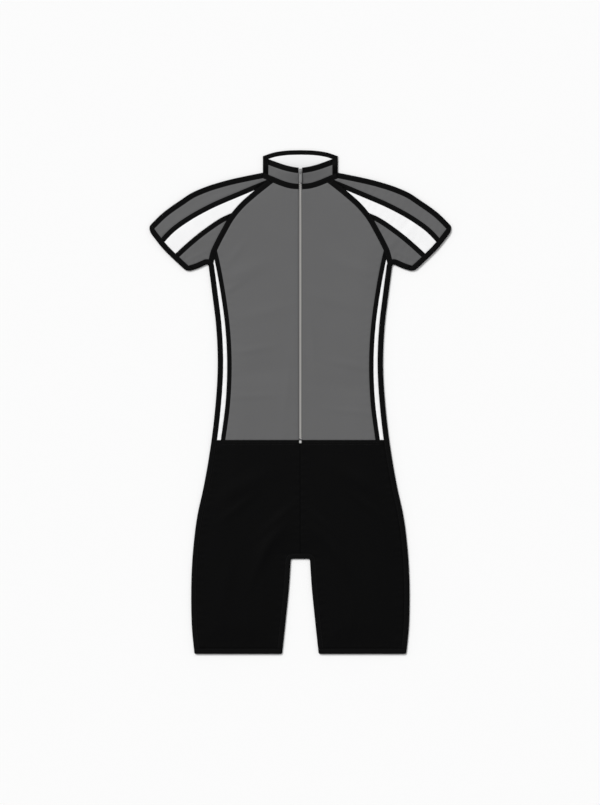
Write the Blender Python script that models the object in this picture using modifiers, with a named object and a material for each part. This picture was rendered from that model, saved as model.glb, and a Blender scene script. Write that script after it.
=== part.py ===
"""One-piece sports suit with short raglan sleeves and a front zip, laid flat on its back.

Metres. +X is the wearer's left, +Y the collar, +Z up, and z = 0 is the surface the suit lies on.
The back pieces lie on that surface and the front pieces lie over them. A flat tape covers each
seam inside the outline, a folded tape, a C in section, closes each side edge, and a flattened
ring of tape closes each cuff and leg. The left half is worked out and the right half mirrors it.
"""

import math

import bmesh
import bpy
import numpy as np

# Driving dimensions
WALL = 0.0012  # thickness of the knit and of the tapes
GAP = 0.0003  # clearance between neighbouring pieces
TAPE = 0.011  # width of a seam tape, a folded edge tape or a cuff band
SLEEVE_TAPE = 0.010  # width of the tapes beside the sleeve's stripe
NARROW_TAPE = 0.009  # width of the tape beside the side stripe and of the back collar binding
EDGE_HEIGHT = 0.0044  # height over the surface of a folded edge tape
LOFT = 0.0012  # how much higher the front lies away from its edges
LOFT_REACH = 0.050  # distance over which the front rises from its tapes to that height
COLLAR_LIFT = 0.006  # how far the middle of the front collar stands off the back collar
LIFT_FROM = 0.436  # height along the suit at which that lift starts
LIFT_TO = 0.467
WAIST = -0.076  # height along the suit of the seam between body and shorts
HEM = -0.504
CROTCH = -0.314
COLLAR_HALF = 0.075  # half width of the flattened collar
ZIP_SLOT = 0.0033  # half width of the slot between the front edges
ARMPIT_CUT = 0.006  # length that the rounding takes off both edges at the armpit
CROTCH_CUT = 0.004
CUFF_CORNERS = (0.008, 0.015)  # length of a cuff's rounding at its lower and its upper corner
LEG_CORNERS = (0.003, 0.003)
CORNER_DEPTH = 0.0095  # most that a rounding reaches in from the open edge

# Outlines and seams of the left half, from below upward unless said. Columns: place, x, y
SIDE_EDGE = (
    ("hem", 0.2120, HEM),
    ("knee side", 0.2170, -0.452),
    ("widest", 0.2185, -0.396),
    ("thigh", 0.2175, -0.340),
    ("upper thigh", 0.2135, -0.284),
    ("seat", 0.2062, -0.228),
    ("hip", 0.1940, -0.172),
    ("below waist", 0.1832, -0.112),
    ("waist seam", 0.1718, -0.026),
    ("waist", 0.1654, 0.080),
    ("ribs", 0.1688, 0.154),
    ("chest", 0.1760, 0.214),
    ("armpit", 0.1842, 0.2765),
)
UNDERARM_EDGE = (
    ("armpit", 0.1842, 0.2765),
    ("under the arm", 0.2070, 0.2665),
    ("cuff corner", 0.2264, 0.2604),
)
CUFF_EDGE = (
    ("lower corner", 0.2264, 0.2604),
    ("lower bend", 0.2520, 0.284),
    ("middle", 0.2760, 0.308),
    ("upper bend", 0.2935, 0.330),
    ("upper corner", 0.3065, 0.3475),
)
SHOULDER_EDGE = (
    ("cuff corner", 0.3065, 0.3475),
    ("upper arm", 0.2750, 0.3785),
    ("arm", 0.2388, 0.4045),
    ("shoulder point", 0.2196, 0.4172),
    ("shoulder", 0.1936, 0.4289),
    ("top of shoulder", 0.1558, 0.4411),
    ("near neck", 0.1000, 0.4539),
    ("neck corner", COLLAR_HALF, 0.4588),
)
INSEAM_EDGE = (  # from the crotch down
    ("crotch corner", 0.0190, CROTCH),
    ("upper thigh", 0.0225, -0.368),
    ("thigh", 0.0280, -0.424),
    ("hem", 0.0365, HEM),
)
RAGLAN_SEAM = (
    ("under armpit", 0.1815, 0.2665),
    ("armpit", 0.1780, 0.2840),
    ("above armpit", 0.1738, 0.3000),
    ("lower curve", 0.1650, 0.3192),
    ("curve", 0.1525, 0.3427),
    ("upper curve", 0.1396, 0.3654),
    ("shoulder", 0.1200, 0.3902),
    ("upper shoulder", 0.0915, 0.4162),
    ("neck", 0.0617, 0.4400),
    ("past neck", 0.0440, 0.4535),
)
SIDE_STRIPE_SEAM = (
    ("below waist seam", 0.1565, -0.090),
    ("low waist", 0.1446, 0.004),
    ("waist", 0.1420, 0.080),
    ("ribs", 0.1461, 0.154),
    ("chest", 0.1541, 0.214),
    ("armpit", 0.1670, 0.284),
    ("past armpit", 0.1745, 0.316),
)
UPPER_SLEEVE_SEAM = (  # the two sleeve seams run from the raglan seam out to the cuff
    ("inside raglan", 0.0551, 0.4438),
    ("neck", 0.0751, 0.4358),
    ("shoulder", 0.1219, 0.4163),
    ("top of arm", 0.1820, 0.3900),
    ("arm", 0.2260, 0.3654),
    ("near cuff", 0.2575, 0.3423),
    ("cuff", 0.2776, 0.3209),
    ("past cuff", 0.2913, 0.3028),
)
LOWER_SLEEVE_SEAM = (
    ("inside raglan", 0.1245, 0.3776),
    ("raglan", 0.1473, 0.3686),
    ("arm", 0.1887, 0.3422),
    ("near cuff", 0.2186, 0.3183),
    ("cuff", 0.2459, 0.2936),
    ("past cuff", 0.2618, 0.2784),
)
FRONT_NECK_SEAM = (  # the neck seams and rims run from the middle outward
    ("middle", 0.0000, 0.4306),
    ("beside zip", 0.0200, 0.4326),
    ("curve", 0.0400, 0.4387),
    ("neck side", 0.0540, 0.4446),
    ("corner", COLLAR_HALF, 0.4535),
)
BACK_NECK_SEAM = (
    ("middle", 0.0000, 0.4480),
    ("curve", 0.0400, 0.4492),
    ("corner", COLLAR_HALF, 0.4535),
)
FRONT_RIM = (
    ("middle", 0.0000, 0.4680),
    ("beside zip", 0.0120, 0.4696),
    ("curve", 0.0300, 0.4738),
    ("side", 0.0480, 0.4800),
    ("corner", COLLAR_HALF, 0.4905),
)
BACK_RIM = (
    ("middle", 0.0000, 0.5040),
    ("curve", 0.0300, 0.5028),
    ("side", 0.0540, 0.4990),
    ("corner", COLLAR_HALF, 0.4920),
)

# Soft folds of the front: place, middle x, middle y, direction in degrees, half length, half width, height
FOLDS = (
    ("left armpit drag", 0.125, 0.262, 158, 0.060, 0.014, 0.0011),
    ("right armpit drag", -0.122, 0.255, 24, 0.055, 0.014, 0.0011),
    ("left waist", 0.085, 0.030, 172, 0.070, 0.018, -0.0008),
    ("right waist", -0.080, 0.060, 6, 0.065, 0.018, -0.0008),
    ("left hip", 0.120, -0.160, 150, 0.060, 0.018, 0.0010),
    ("right hip", -0.118, -0.170, 28, 0.060, 0.018, 0.0010),
    ("left crotch drag", 0.055, -0.285, 128, 0.055, 0.014, 0.0012),
    ("right crotch drag", -0.058, -0.278, 54, 0.055, 0.014, 0.0012),
)

FACING_LOW = 0.4535  # lower edge of the white facing, hidden under the front collar
FACING_UNDER = WALL + GAP
FACING_WALL = 0.0008

# Zip
ZIP_END = -0.0835  # lower end of the tapes, under the top of the shorts
ZIP_BELOW_RIM = 0.0015
ZIP_TAPE_INNER = 0.0012
ZIP_TAPE_OUTER = 0.0090
ZIP_TAPE_WALL = 0.0007
ZIP_TAPE_DROP = WALL + 0.0005  # the tape's face below the face of the front
CHAIN_HALF = 0.0025
CHAIN_RISE = 0.0002  # the chain's face above the face of the front
CHAIN_WALL = 0.0016
STOP_SIZE = (0.0046, 0.0056, 0.0012)
STOP_Y = WAIST - 0.0036
SLIDER_Y = 0.4605  # middle of the slider, which is also the pull tab's axis
PLATE_SIZE = (0.0080, 0.0120, 0.0014)
PLATE_RISE = 0.0006  # underside of the plate above the face of the front
KEEL_SIZE = (0.0036, 0.0108)
BRIDGE_SIZE = (0.0018, 0.0070, 0.0033)
BRIDGE_HOLE = (0.0044, 0.0024)  # length and height
TAB_SIZE = (0.0058, 0.0225, 0.0012)
TAB_BAR = 0.0012  # thickness of the bar that turns in the bridge
TAB_EYE = (0.0030, 0.0039)  # width and length of the window that the bridge passes through
BEVEL = 0.0003

# Looks: colour, roughness, metallic value
GREY_KNIT = ((0.127, 0.127, 0.129), 0.75, 0.0)
BLACK_KNIT = ((0.006, 0.006, 0.006), 0.75, 0.0)
WHITE_KNIT = ((0.92, 0.92, 0.93), 0.75, 0.0)
BLACK_TAPE = ((0.004, 0.004, 0.004), 0.65, 0.0)
ZIP_TAPE_LOOK = ((0.12, 0.12, 0.12), 0.8, 0.0)
COIL_LOOK = ((0.30, 0.29, 0.28), 0.4, 0.0)
METAL = ((0.35, 0.35, 0.36), 0.35, 1.0)

# Meshing
SPAN = 0.001  # spacing of the points of a fine curve
STATION_STEP = 0.030  # longest span between the stations kept of it
RAGLAN_STEP = 0.022
NECK_STEP = 0.012
STATION_TURN = math.radians(13)  # most that the curve turns between two stations
SAME_PLACE = 0.03  # points of opposite edges nearer than this share of their length are paired
UNEVEN = 1.4  # longest cell of a grid, in even ones
CUT_CLEAR = 0.04  # a station nearer to a cut than this share of a span is left out
OVERRUN = 0.020  # straight added at the ends of a line so that others cross it
SHORT_OVERRUN = 0.004  # the same at the ends of a line in the neck
BEYOND_X = 0.4  # ends of a straight line across the suit
BEYOND_Y = 0.6
HALF_ROUND = np.radians((0, 50, 90, 130, 180))  # turns of an edge tape's lines round the edge
CORNER_ROWS = (0.0, 0.1, 0.4, 1.0)  # rows of a ring in its corners, as shares of their radius
RING_SHARES = np.linspace(0.0, 1.0, 7)
ZIP_ROWS = 18  # rows of a zip piece below the collar
ZIP_STEP = 0.005  # spacing of its rows in the collar
WELD = 1e-6
PANEL_CELLS = {  # fewest cells across and along a panel
    "front_body": (6, 18),
    "side_stripe": (1, 8),
    "sleeve_upper": (8, 2),
    "sleeve_stripe": (6, 2),
    "sleeve_lower": (4, 3),
    "collar_front": (5, 3),
    "shorts_front": (6, 14),
    "shorts_back": (3, 6),
    "sleeve_back": (5, 3),
    "back_body": (6, 8),
    "collar_back": (6, 2),
    "collar_facing": (6, 2),
}


# Curves in plan. A curve is an array of points; a station number counts along its points.


def lengths(curve):
    """Length along the curve at each of its points."""
    return np.concatenate([[0.0], np.cumsum(np.linalg.norm(np.diff(curve, axis=0), axis=1))])


def at(curve, stations):
    """Points at those station numbers, between whole ones on the straight between two points."""
    whole = np.arange(len(curve))
    return np.column_stack([np.interp(stations, whole, column) for column in curve.T])


def smooth(table):
    """Fine curve through a table's points: cubic Hermite spans on the length of their chords."""
    points = np.array([row[1:] for row in table])
    along = lengths(points)
    tangents = np.gradient(points, along, axis=0)
    fine = np.linspace(0.0, along[-1], max(2, round(along[-1] / SPAN)))
    k = np.clip(np.searchsorted(along, fine, side="right") - 1, 0, len(along) - 2)
    span = (along[k + 1] - along[k])[:, None]
    t = (fine - along[k])[:, None] / span
    start = (1 + 2 * t) * (1 - t) ** 2 * points[k] + t * (1 - t) ** 2 * span * tangents[k]
    end = t**2 * (3 - 2 * t) * points[k + 1] - t**2 * (1 - t) * span * tangents[k + 1]
    return start + end


def rounded_join(first, second, cut):
    """Two fine curves that meet in a corner, with a parabola between the points `cut` before and after."""
    corner = first[-1]
    before = first[lengths(first) < lengths(first)[-1] - cut]
    after = second[lengths(second) > cut]
    t = np.linspace(0.0, 1.0, 14)[1:-1, None]
    arc = (1 - t) ** 2 * before[-1] + 2 * t * (1 - t) * corner + t**2 * after[0]
    return np.vstack([before, arc, after])


def stations(curve, step=STATION_STEP):
    """Few points of a fine curve: one each step, or sooner where it turns."""
    along = lengths(curve)
    run = np.diff(curve, axis=0)
    heading = np.unwrap(np.arctan2(run[:, 1], run[:, 0]))
    kept = [0]
    for k in range(1, len(curve) - 2):
        turned = abs(heading[k] - heading[kept[-1]])
        if along[k] - along[kept[-1]] >= step or turned >= STATION_TURN:
            kept.append(k)
    return curve[kept + [len(curve) - 1]]


def beside(curve, distance):
    """The curve moved to its left by a distance, mitred at its points so that it stays parallel."""
    run = np.diff(curve, axis=0)
    run = run / np.linalg.norm(run, axis=1)[:, None]
    left = np.column_stack([-run[:, 1], run[:, 0]])
    before, after = np.vstack([left[:1], left]), np.vstack([left, left[-1:]])
    mitre = (before + after) / (1 + np.sum(before * after, axis=1))[:, None]
    return curve + distance * mitre


def extended(curve, length=OVERRUN):
    """The curve with a straight piece added at both ends."""
    head, tail = curve[0] - curve[1], curve[-1] - curve[-2]
    head, tail = head / np.linalg.norm(head), tail / np.linalg.norm(tail)
    return np.vstack([curve[0] + length * head, curve, curve[-1] + length * tail])


def cross(a, b):
    """Third component of the cross product of vectors in plan."""
    return a[..., 0] * b[..., 1] - a[..., 1] * b[..., 0]


def crossing(curve, other):
    """Station number at which the curve first meets the other one."""
    start, run = curve[:-1, None], np.diff(curve, axis=0)[:, None]
    other_start, other_run = other[None, :-1], np.diff(other, axis=0)[None]
    area = cross(run, other_run)
    area = np.where(area == 0, np.nan, area)
    t = cross(other_start - start, other_run) / area
    s = cross(other_start - start, run) / area
    inside = (t >= 0) & (t <= 1) & (s >= 0) & (s <= 1)
    if not inside.any():
        raise ValueError("the lines do not meet")
    station = np.where(inside, np.arange(len(curve) - 1)[:, None] + t, np.inf)
    return float(station.min())


def between(curve, start, end):
    """The part of a curve from one line across it to another, with its own stations kept."""
    first, last = crossing(curve, start), crossing(curve, end)
    low, high = sorted((first, last))
    inner = [k for k in range(len(curve)) if low + CUT_CLEAR < k < high - CUT_CLEAR]
    part = at(curve, [low, *inner, high])
    return part if first <= last else part[::-1]


def level(y, x_from=0.0, x_to=BEYOND_X):
    """Straight line across the suit at a height along it."""
    return np.array([[x_from, y], [x_to, y]])


def upright(x):
    """Straight line along the suit at a distance from its middle."""
    return np.array([[x, -BEYOND_Y], [x, BEYOND_Y]])


def mirrored(curve):
    """The curve on the suit's other half, run through the other way."""
    return curve[::-1] * (-1, 1)


def whole(half):
    """A curve from the middle outward, with its mirror image before it."""
    return np.vstack([mirrored(half), half[1:]])


def joined(curve, other, end):
    """The curve from the middle of the suit to the other one, then that one on to a line across it."""
    first = between(curve, upright(0.0), other)
    return extended(np.vstack([first, between(other, curve, end)[1:]]), SHORT_OVERRUN)


# Grids in plan


def paired(first, second, cells):
    """Two opposite edges with equally many points: each keeps its own and takes the other's places.

    Returns both edges and the mean place, from 0 to 1, of each pair of points. Spans much longer
    than an even one of the asked number of cells are halved.
    """
    a, b = (lengths(edge) / lengths(edge)[-1] for edge in (first, second))
    pairs, i, j = [], 0, 0
    while i < len(a) and j < len(b):
        last = (i == len(a) - 1, j == len(b) - 1)
        if all(last) or (not any(last) and abs(a[i] - b[j]) < SAME_PLACE):
            pairs.append((a[i], b[j]))
            i, j = i + 1, j + 1
        elif a[i] < b[j]:
            pairs.append((a[i], a[i]))
            i += 1
        else:
            pairs.append((b[j], b[j]))
            j += 1
    pairs = np.array(pairs)
    while True:
        spans = np.diff(pairs.mean(axis=1))
        k = int(np.argmax(spans))
        if spans[k] <= UNEVEN / cells:
            break
        pairs = np.insert(pairs, k + 1, (pairs[k] + pairs[k + 1]) / 2, axis=0)
    edges = []
    for edge, places in ((first, pairs[:, 0]), (second, pairs[:, 1])):
        along = lengths(edge)
        edges.append(np.column_stack([np.interp(places * along[-1], along, c) for c in edge.T]))
    return edges[0], edges[1], pairs.mean(axis=1)


def patch(bottom, top, left, right, cells):
    """Grid between four edges, a Coons patch: both rulings added, less the bilinear one.

    Bottom and top run to the right, left and right run upward. Indexed right, then up.
    """
    bottom, top, u = paired(bottom, top, cells[0])
    left, right, v = paired(left, right, cells[1])
    u, v = u[:, None, None], v[None, :, None]
    corners = (1 - u) * ((1 - v) * bottom[0] + v * top[0]) + u * ((1 - v) * bottom[-1] + v * top[-1])
    return (1 - v) * bottom[:, None] + v * top[:, None] + (1 - u) * left[None] + u * right[None] - corners


def strip(seam, reaches, starts, ends):
    """Grid along a seam: a line at each distance to its left, cut by the lines across its two ends.

    Starts and ends hold the line that cuts each of these lines. Indexed across, then along.
    """
    lines = [extended(beside(seam, reach)) for reach in reaches]
    first = [crossing(line, cut) for line, cut in zip(lines, starts)]
    last = [crossing(line, cut) for line, cut in zip(lines, ends)]
    inner = range(math.ceil(max(first) + CUT_CLEAR), math.floor(min(last) - CUT_CLEAR) + 1)
    return np.array([at(line, [a, *inner, b]) for line, a, b in zip(lines, first, last)])


def seam_grid(seam, width, start, end, cells=2):
    """Grid of a flat tape over a seam, from its right edge to its left."""
    reaches = np.linspace(-width / 2, width / 2, cells + 1)
    return strip(seam, reaches, [start] * (cells + 1), [end] * (cells + 1))


# Height of the front


def edge_distance(plan, outline):
    """Distance from each point to the nearest part of the outline."""
    start, run = outline[:-1], np.diff(outline, axis=0)
    flat = plan.reshape(-1, 1, 2)
    t = np.clip(np.sum((flat - start) * run, axis=2) / np.sum(run * run, axis=1), 0.0, 1.0)
    distance = np.linalg.norm(flat - start - t[..., None] * run, axis=2).min(axis=1)
    return distance.reshape(plan.shape[:-1])


def eased(t):
    """Rises smoothly from 0 to 1 with t."""
    t = np.clip(t, 0.0, 1.0)
    return t * t * (3 - 2 * t)


def front_height(plan, outline):
    """Height of the front's outer face: the edge tapes' height, plus loft and folds away from them.

    A fold is a bell across its line and along it. The front collar lifts off the back one in the
    middle of its rim.
    """
    x, y = plan[..., 0], plan[..., 1]
    rise = np.full(x.shape, LOFT)
    for _, middle_x, middle_y, degrees, half_length, half_width, height in FOLDS:
        c, s = math.cos(math.radians(degrees)), math.sin(math.radians(degrees))
        along = ((x - middle_x) * c + (y - middle_y) * s) / half_length
        across = ((y - middle_y) * c - (x - middle_x) * s) / half_width
        rise += height * np.exp(-(along**2) - across**2)
    height = EDGE_HEIGHT + rise * eased((edge_distance(plan, outline) - TAPE - GAP) / LOFT_REACH)
    sideways = np.clip(1 - (x / (COLLAR_HALF - TAPE - GAP)) ** 2, 0.0, 1.0) ** 2
    return height + COLLAR_LIFT * eased((y - LIFT_FROM) / (LIFT_TO - LIFT_FROM)) * sideways


# Objects


def material(name, look):
    """Principled material of a piece."""
    colour, roughness, metallic = look
    made = bpy.data.materials.new(name)
    made.use_nodes = True
    shader = made.node_tree.nodes["Principled BSDF"]
    shader.inputs["Base Color"].default_value = (*colour, 1.0)
    shader.inputs["Roughness"].default_value = roughness
    shader.inputs["Metallic"].default_value = metallic
    return made


def add_object(name, bm, look, collection):
    """Object of a bmesh, with a material of its own."""
    mesh = bpy.data.meshes.new(name)
    bm.to_mesh(mesh)
    bm.free()
    mesh.materials.append(material(name, look))
    made = bpy.data.objects.new(name, mesh)
    collection.objects.link(made)
    return made


def cloth(name, look, points, collection, side=1, wall=WALL, ring=False):
    """Piece of cloth or tape: a grid mapped to the points of its outer face, with a wall behind.

    The points are indexed so that the first direction crossed with the second one points out on
    the left half. A ring's last column falls on its first one and is welded to it.
    """
    rows, columns = points.shape[:2]
    bm = bmesh.new()
    bmesh.ops.create_grid(bm, x_segments=rows - 1, y_segments=columns - 1, size=1.0)
    for vert in bm.verts:
        i = round((vert.co.x + 1) / 2 * (rows - 1))
        j = round((vert.co.y + 1) / 2 * (columns - 1))
        vert.co = points[i, j] * (side, 1, 1)
    if ring:
        bmesh.ops.remove_doubles(bm, verts=bm.verts, dist=WELD)
    if side < 0:
        bmesh.ops.reverse_faces(bm, faces=bm.faces)
    made = add_object(name, bm, look, collection)
    solidify = made.modifiers.new("wall", "SOLIDIFY")
    solidify.thickness = wall
    solidify.offset = -1.0
    solidify.use_even_offset = True
    return made


def standing(plan, height):
    """The grid's points with a height, which may be one number."""
    return np.concatenate([plan, np.broadcast_to(height, plan.shape[:-1])[..., None]], axis=-1)


def folded_tape_points(path, starts, ends):
    """Outer face of a folded edge tape: two flat flanges and a half round between them.

    The path runs along the edge with the cloth on its left. Starts and ends each hold the line
    that cuts the under flange and the line that cuts the upper one.
    """
    radius = EDGE_HEIGHT / 2
    reach = np.concatenate([[TAPE], radius * (1 - np.sin(HALF_ROUND)), [TAPE]])
    height = np.concatenate([[0.0], radius * (1 - np.cos(HALF_ROUND)), [EDGE_HEIGHT]])
    upper = [int(z > radius / 2) for z in height]
    plan = strip(path, reach, [starts[k] for k in upper], [ends[k] for k in upper])
    return standing(plan, height[:, None]).transpose(1, 0, 2)


def corner_inset(reach, corner):
    """How far a ring's line ends inside the side edge, on a quarter of an ellipse."""
    deep = min(corner, CORNER_DEPTH)
    return corner * (1 - math.sqrt(1 - max(1 - reach / deep, 0.0) ** 2))


def band_ring_points(path, start, end, corners):
    """Outer face of a flattened ring of tape along an open edge, with rounded corners in plan.

    Row by row inward from the edge, each line between the two side edges is gone round once:
    along the surface, up the half round at its end, back along the top and down again.
    """
    radius = EDGE_HEIGHT / 2
    deep = min(max(corners), CORNER_DEPTH)
    shares = RING_SHARES
    bulge, rise = radius * np.sin(HALF_ROUND), radius * (1 - np.cos(HALF_ROUND))
    rows = []
    for reach in [*(share * deep for share in CORNER_ROWS), TAPE]:
        line = between(extended(beside(path, reach)), start, end)
        along = lengths(line)
        low = corner_inset(reach, corners[0]) + radius
        high = along[-1] - corner_inset(reach, corners[1]) - radius
        run = np.concatenate([
            low + (high - low) * shares, high + bulge[1:-1],
            high - (high - low) * shares, low - bulge[1:],
        ])
        height = np.concatenate([
            0 * shares, rise[1:-1],
            0 * shares + EDGE_HEIGHT, EDGE_HEIGHT - rise[1:],
        ])
        plan = np.column_stack([np.interp(run, along, column) for column in line.T])
        rows.append(standing(plan, height))
    return np.array(rows)


def box(size, middle):
    """Closed box as a bmesh."""
    bm = bmesh.new()
    bmesh.ops.create_cube(bm, size=1.0)
    for vert in bm.verts:
        vert.co = [m + c * s for m, c, s in zip(middle, vert.co, size)]
    return bm


def rounded_box(name, look, size, middle, collection):
    """Box with all its edges bevelled."""
    made = add_object(name, box(size, middle), look, collection)
    bevel = made.modifiers.new("edges", "BEVEL")
    bevel.width = BEVEL
    bevel.segments = 2
    bevel.limit_method = "NONE"
    return made


def cutter(name, size, middle, collection):
    """Hidden box that a Boolean reads."""
    made = add_object(name, box(size, middle), METAL, collection)
    made.hide_render = True
    made.display_type = "WIRE"
    return made


def boolean(target, tool, operation):
    """Adds a Boolean modifier."""
    modifier = target.modifiers.new(tool.name, "BOOLEAN")
    modifier.operation = operation
    modifier.object = tool
    modifier.solver = "EXACT"


class Pattern:
    """Lines of the left half in plan, at their stations, and the suit's whole outline."""

    def __init__(self):
        side, underarm = smooth(SIDE_EDGE), smooth(UNDERARM_EDGE)
        crotch = smooth((("middle", 0.0, CROTCH), INSEAM_EDGE[0]))
        self.side = stations(rounded_join(side, underarm, ARMPIT_CUT))
        self.inseam = stations(rounded_join(crotch, smooth(INSEAM_EDGE), CROTCH_CUT))
        self.cuff = stations(smooth(CUFF_EDGE))
        self.shoulder = stations(smooth(SHOULDER_EDGE))
        self.hem = np.array([INSEAM_EDGE[-1][1:], SIDE_EDGE[0][1:]])
        self.raglan = stations(smooth(RAGLAN_SEAM), RAGLAN_STEP)
        self.side_stripe = stations(smooth(SIDE_STRIPE_SEAM))
        self.upper_sleeve = stations(smooth(UPPER_SLEEVE_SEAM))
        self.lower_sleeve = stations(smooth(LOWER_SLEEVE_SEAM))
        self.front_neck = stations(smooth(FRONT_NECK_SEAM), NECK_STEP)
        self.back_neck = stations(smooth(BACK_NECK_SEAM), NECK_STEP)
        self.front_rim = stations(smooth(FRONT_RIM), NECK_STEP)
        self.back_rim = stations(smooth(BACK_RIM), NECK_STEP)
        self.collar_side = np.array([SHOULDER_EDGE[-1][1:], BACK_RIM[-1][1:]])

        # Lines that the panels end on: a tape's edge and the clearance beside it
        clear = TAPE + GAP
        half = TAPE / 2 + GAP
        self.side_in = extended(beside(self.side, clear))
        self.inseam_in = extended(beside(self.inseam, clear))
        self.cuff_in = extended(beside(self.cuff, clear))
        self.shoulder_in = extended(beside(self.shoulder, clear))
        self.collar_side_in = extended(beside(self.collar_side, clear))
        self.leg_in = level(HEM + clear)
        self.body_end = level(WAIST + GAP / 2)
        self.shorts_end = level(WAIST - GAP / 2)
        self.raglan_in = beside(self.raglan, half)
        self.raglan_out = beside(self.raglan, -half)
        self.stripe_in = beside(self.side_stripe, NARROW_TAPE / 2 + GAP)
        self.stripe_out = beside(self.side_stripe, -NARROW_TAPE / 2 - GAP)
        self.front_neck_low = extended(beside(self.front_neck, -half), SHORT_OVERRUN)
        self.front_neck_high = extended(beside(self.front_neck, half), SHORT_OVERRUN)
        self.back_neck_low = extended(beside(self.back_neck, -half), SHORT_OVERRUN)
        self.back_neck_high = extended(beside(self.back_neck, half), SHORT_OVERRUN)
        self.front_rim_low = extended(beside(self.front_rim, -clear), SHORT_OVERRUN)
        self.back_rim_low = extended(beside(self.back_rim, -NARROW_TAPE - GAP), SHORT_OVERRUN)
        self.zip_edge = upright(ZIP_SLOT)
        self.middle = upright(GAP / 2)

        left = np.vstack([self.inseam, self.side, self.cuff, self.shoulder, self.back_rim[::-1]])
        around = np.vstack([left, mirrored(left)])
        apart = np.linalg.norm(np.diff(around, axis=0), axis=1) > GAP
        self.outline = around[np.concatenate([[True], apart])]


def front_panels(p):
    """Grids in plan of the left half's front panels, by name and look."""
    zip_edge, neck, waist = p.zip_edge, p.front_neck_low, p.body_end
    raglan_in, raglan_out = p.raglan_in, p.raglan_out
    clear = SLEEVE_TAPE / 2 + GAP
    upper_high, upper_low = (beside(p.upper_sleeve, s * clear) for s in (1, -1))
    lower_high, lower_low = (beside(p.lower_sleeve, s * clear) for s in (1, -1))
    body_side = np.vstack([
        between(p.stripe_in, waist, raglan_in),
        between(raglan_in, p.stripe_in, neck)[1:],
    ])
    body = patch(
        between(waist, zip_edge, p.stripe_in), between(neck, zip_edge, raglan_in),
        between(zip_edge, waist, neck), body_side, PANEL_CELLS["front_body"],
    )
    side_stripe = patch(
        between(waist, p.stripe_out, p.side_in), between(raglan_in, p.stripe_out, p.side_in),
        between(p.stripe_out, waist, raglan_in), between(p.side_in, waist, raglan_in),
        PANEL_CELLS["side_stripe"],
    )
    upper = patch(
        between(upper_high, neck, p.cuff_in), between(p.shoulder_in, neck, p.cuff_in),
        between(neck, upper_high, p.shoulder_in), between(p.cuff_in, upper_high, p.shoulder_in),
        PANEL_CELLS["sleeve_upper"],
    )
    stripe = patch(
        between(lower_high, raglan_out, p.cuff_in), between(upper_low, raglan_out, p.cuff_in),
        between(raglan_out, lower_high, upper_low), between(p.cuff_in, lower_high, upper_low),
        PANEL_CELLS["sleeve_stripe"],
    )
    lower = patch(
        between(p.side_in, raglan_out, p.cuff_in), between(lower_low, raglan_out, p.cuff_in),
        between(raglan_out, p.side_in, lower_low), between(p.cuff_in, p.side_in, lower_low),
        PANEL_CELLS["sleeve_lower"],
    )
    collar = patch(
        between(p.front_neck_high, zip_edge, p.collar_side_in),
        between(p.front_rim_low, zip_edge, p.collar_side_in),
        between(zip_edge, p.front_neck_high, p.front_rim_low),
        between(p.collar_side_in, p.front_neck_high, p.front_rim_low), PANEL_CELLS["collar_front"],
    )
    return {
        "front_body": (GREY_KNIT, body),
        "side_stripe": (WHITE_KNIT, side_stripe),
        "sleeve_upper": (GREY_KNIT, upper),
        "sleeve_stripe": (WHITE_KNIT, stripe),
        "sleeve_lower": (GREY_KNIT, lower),
        "collar_front": (GREY_KNIT, collar),
        "shorts_front": (BLACK_KNIT, shorts_grid(p, PANEL_CELLS["shorts_front"])),
    }


def shorts_grid(p, cells):
    """Grid in plan of the left half of the shorts, from the middle seam to the side tape."""
    inner = np.vstack([
        between(p.inseam_in, p.leg_in, p.middle),
        between(p.middle, p.inseam_in, p.shorts_end)[1:],
    ])
    return patch(
        between(p.leg_in, p.inseam_in, p.side_in), between(p.shorts_end, p.middle, p.side_in),
        inner, between(p.side_in, p.leg_in, p.shorts_end), cells,
    )


def front_tapes(p):
    """Grids in plan of the left half's flat tapes on the front, by name."""
    top = joined(p.front_neck_low, p.shoulder_in, p.cuff_in)
    rim = strip(p.front_rim, (-TAPE, -TAPE / 2, 0.0), [p.zip_edge] * 3, [p.collar_side_in] * 3)
    upper = strip(
        p.upper_sleeve, (-SLEEVE_TAPE / 2, 0.0, SLEEVE_TAPE / 2),
        [p.raglan_out, p.raglan_out, p.front_neck_low], [p.cuff_in] * 3,
    )
    return {
        "raglan_tape_front": seam_grid(p.raglan, TAPE, p.side_in, top, 4),
        "side_stripe_tape": seam_grid(p.side_stripe, NARROW_TAPE, p.body_end, p.raglan_in),
        "sleeve_tape_upper": upper,
        "sleeve_tape_lower": seam_grid(p.lower_sleeve, SLEEVE_TAPE, p.raglan_out, p.cuff_in),
        "neck_tape_front": seam_grid(p.front_neck, TAPE, p.zip_edge, upright(COLLAR_HALF - GAP / 2)),
        "collar_binding_front": rim,
    }


def back_panels(p):
    """Grids in plan of the back pieces that come in a left and a right, by name and look."""
    top = joined(p.back_neck_low, p.shoulder_in, p.cuff_in)
    sleeve = patch(
        between(p.side_in, p.raglan_out, p.cuff_in), between(top, p.raglan_out, p.cuff_in),
        between(p.raglan_out, p.side_in, top), between(p.cuff_in, p.side_in, top),
        PANEL_CELLS["sleeve_back"],
    )
    return {
        "sleeve_back": (GREY_KNIT, sleeve.transpose(1, 0, 2)),
        "raglan_tape_back": (BLACK_TAPE, seam_grid(p.raglan, TAPE, p.side_in, top, 4)),
        "shorts_back": (BLACK_KNIT, shorts_grid(p, PANEL_CELLS["shorts_back"]).transpose(1, 0, 2)),
    }


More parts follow.
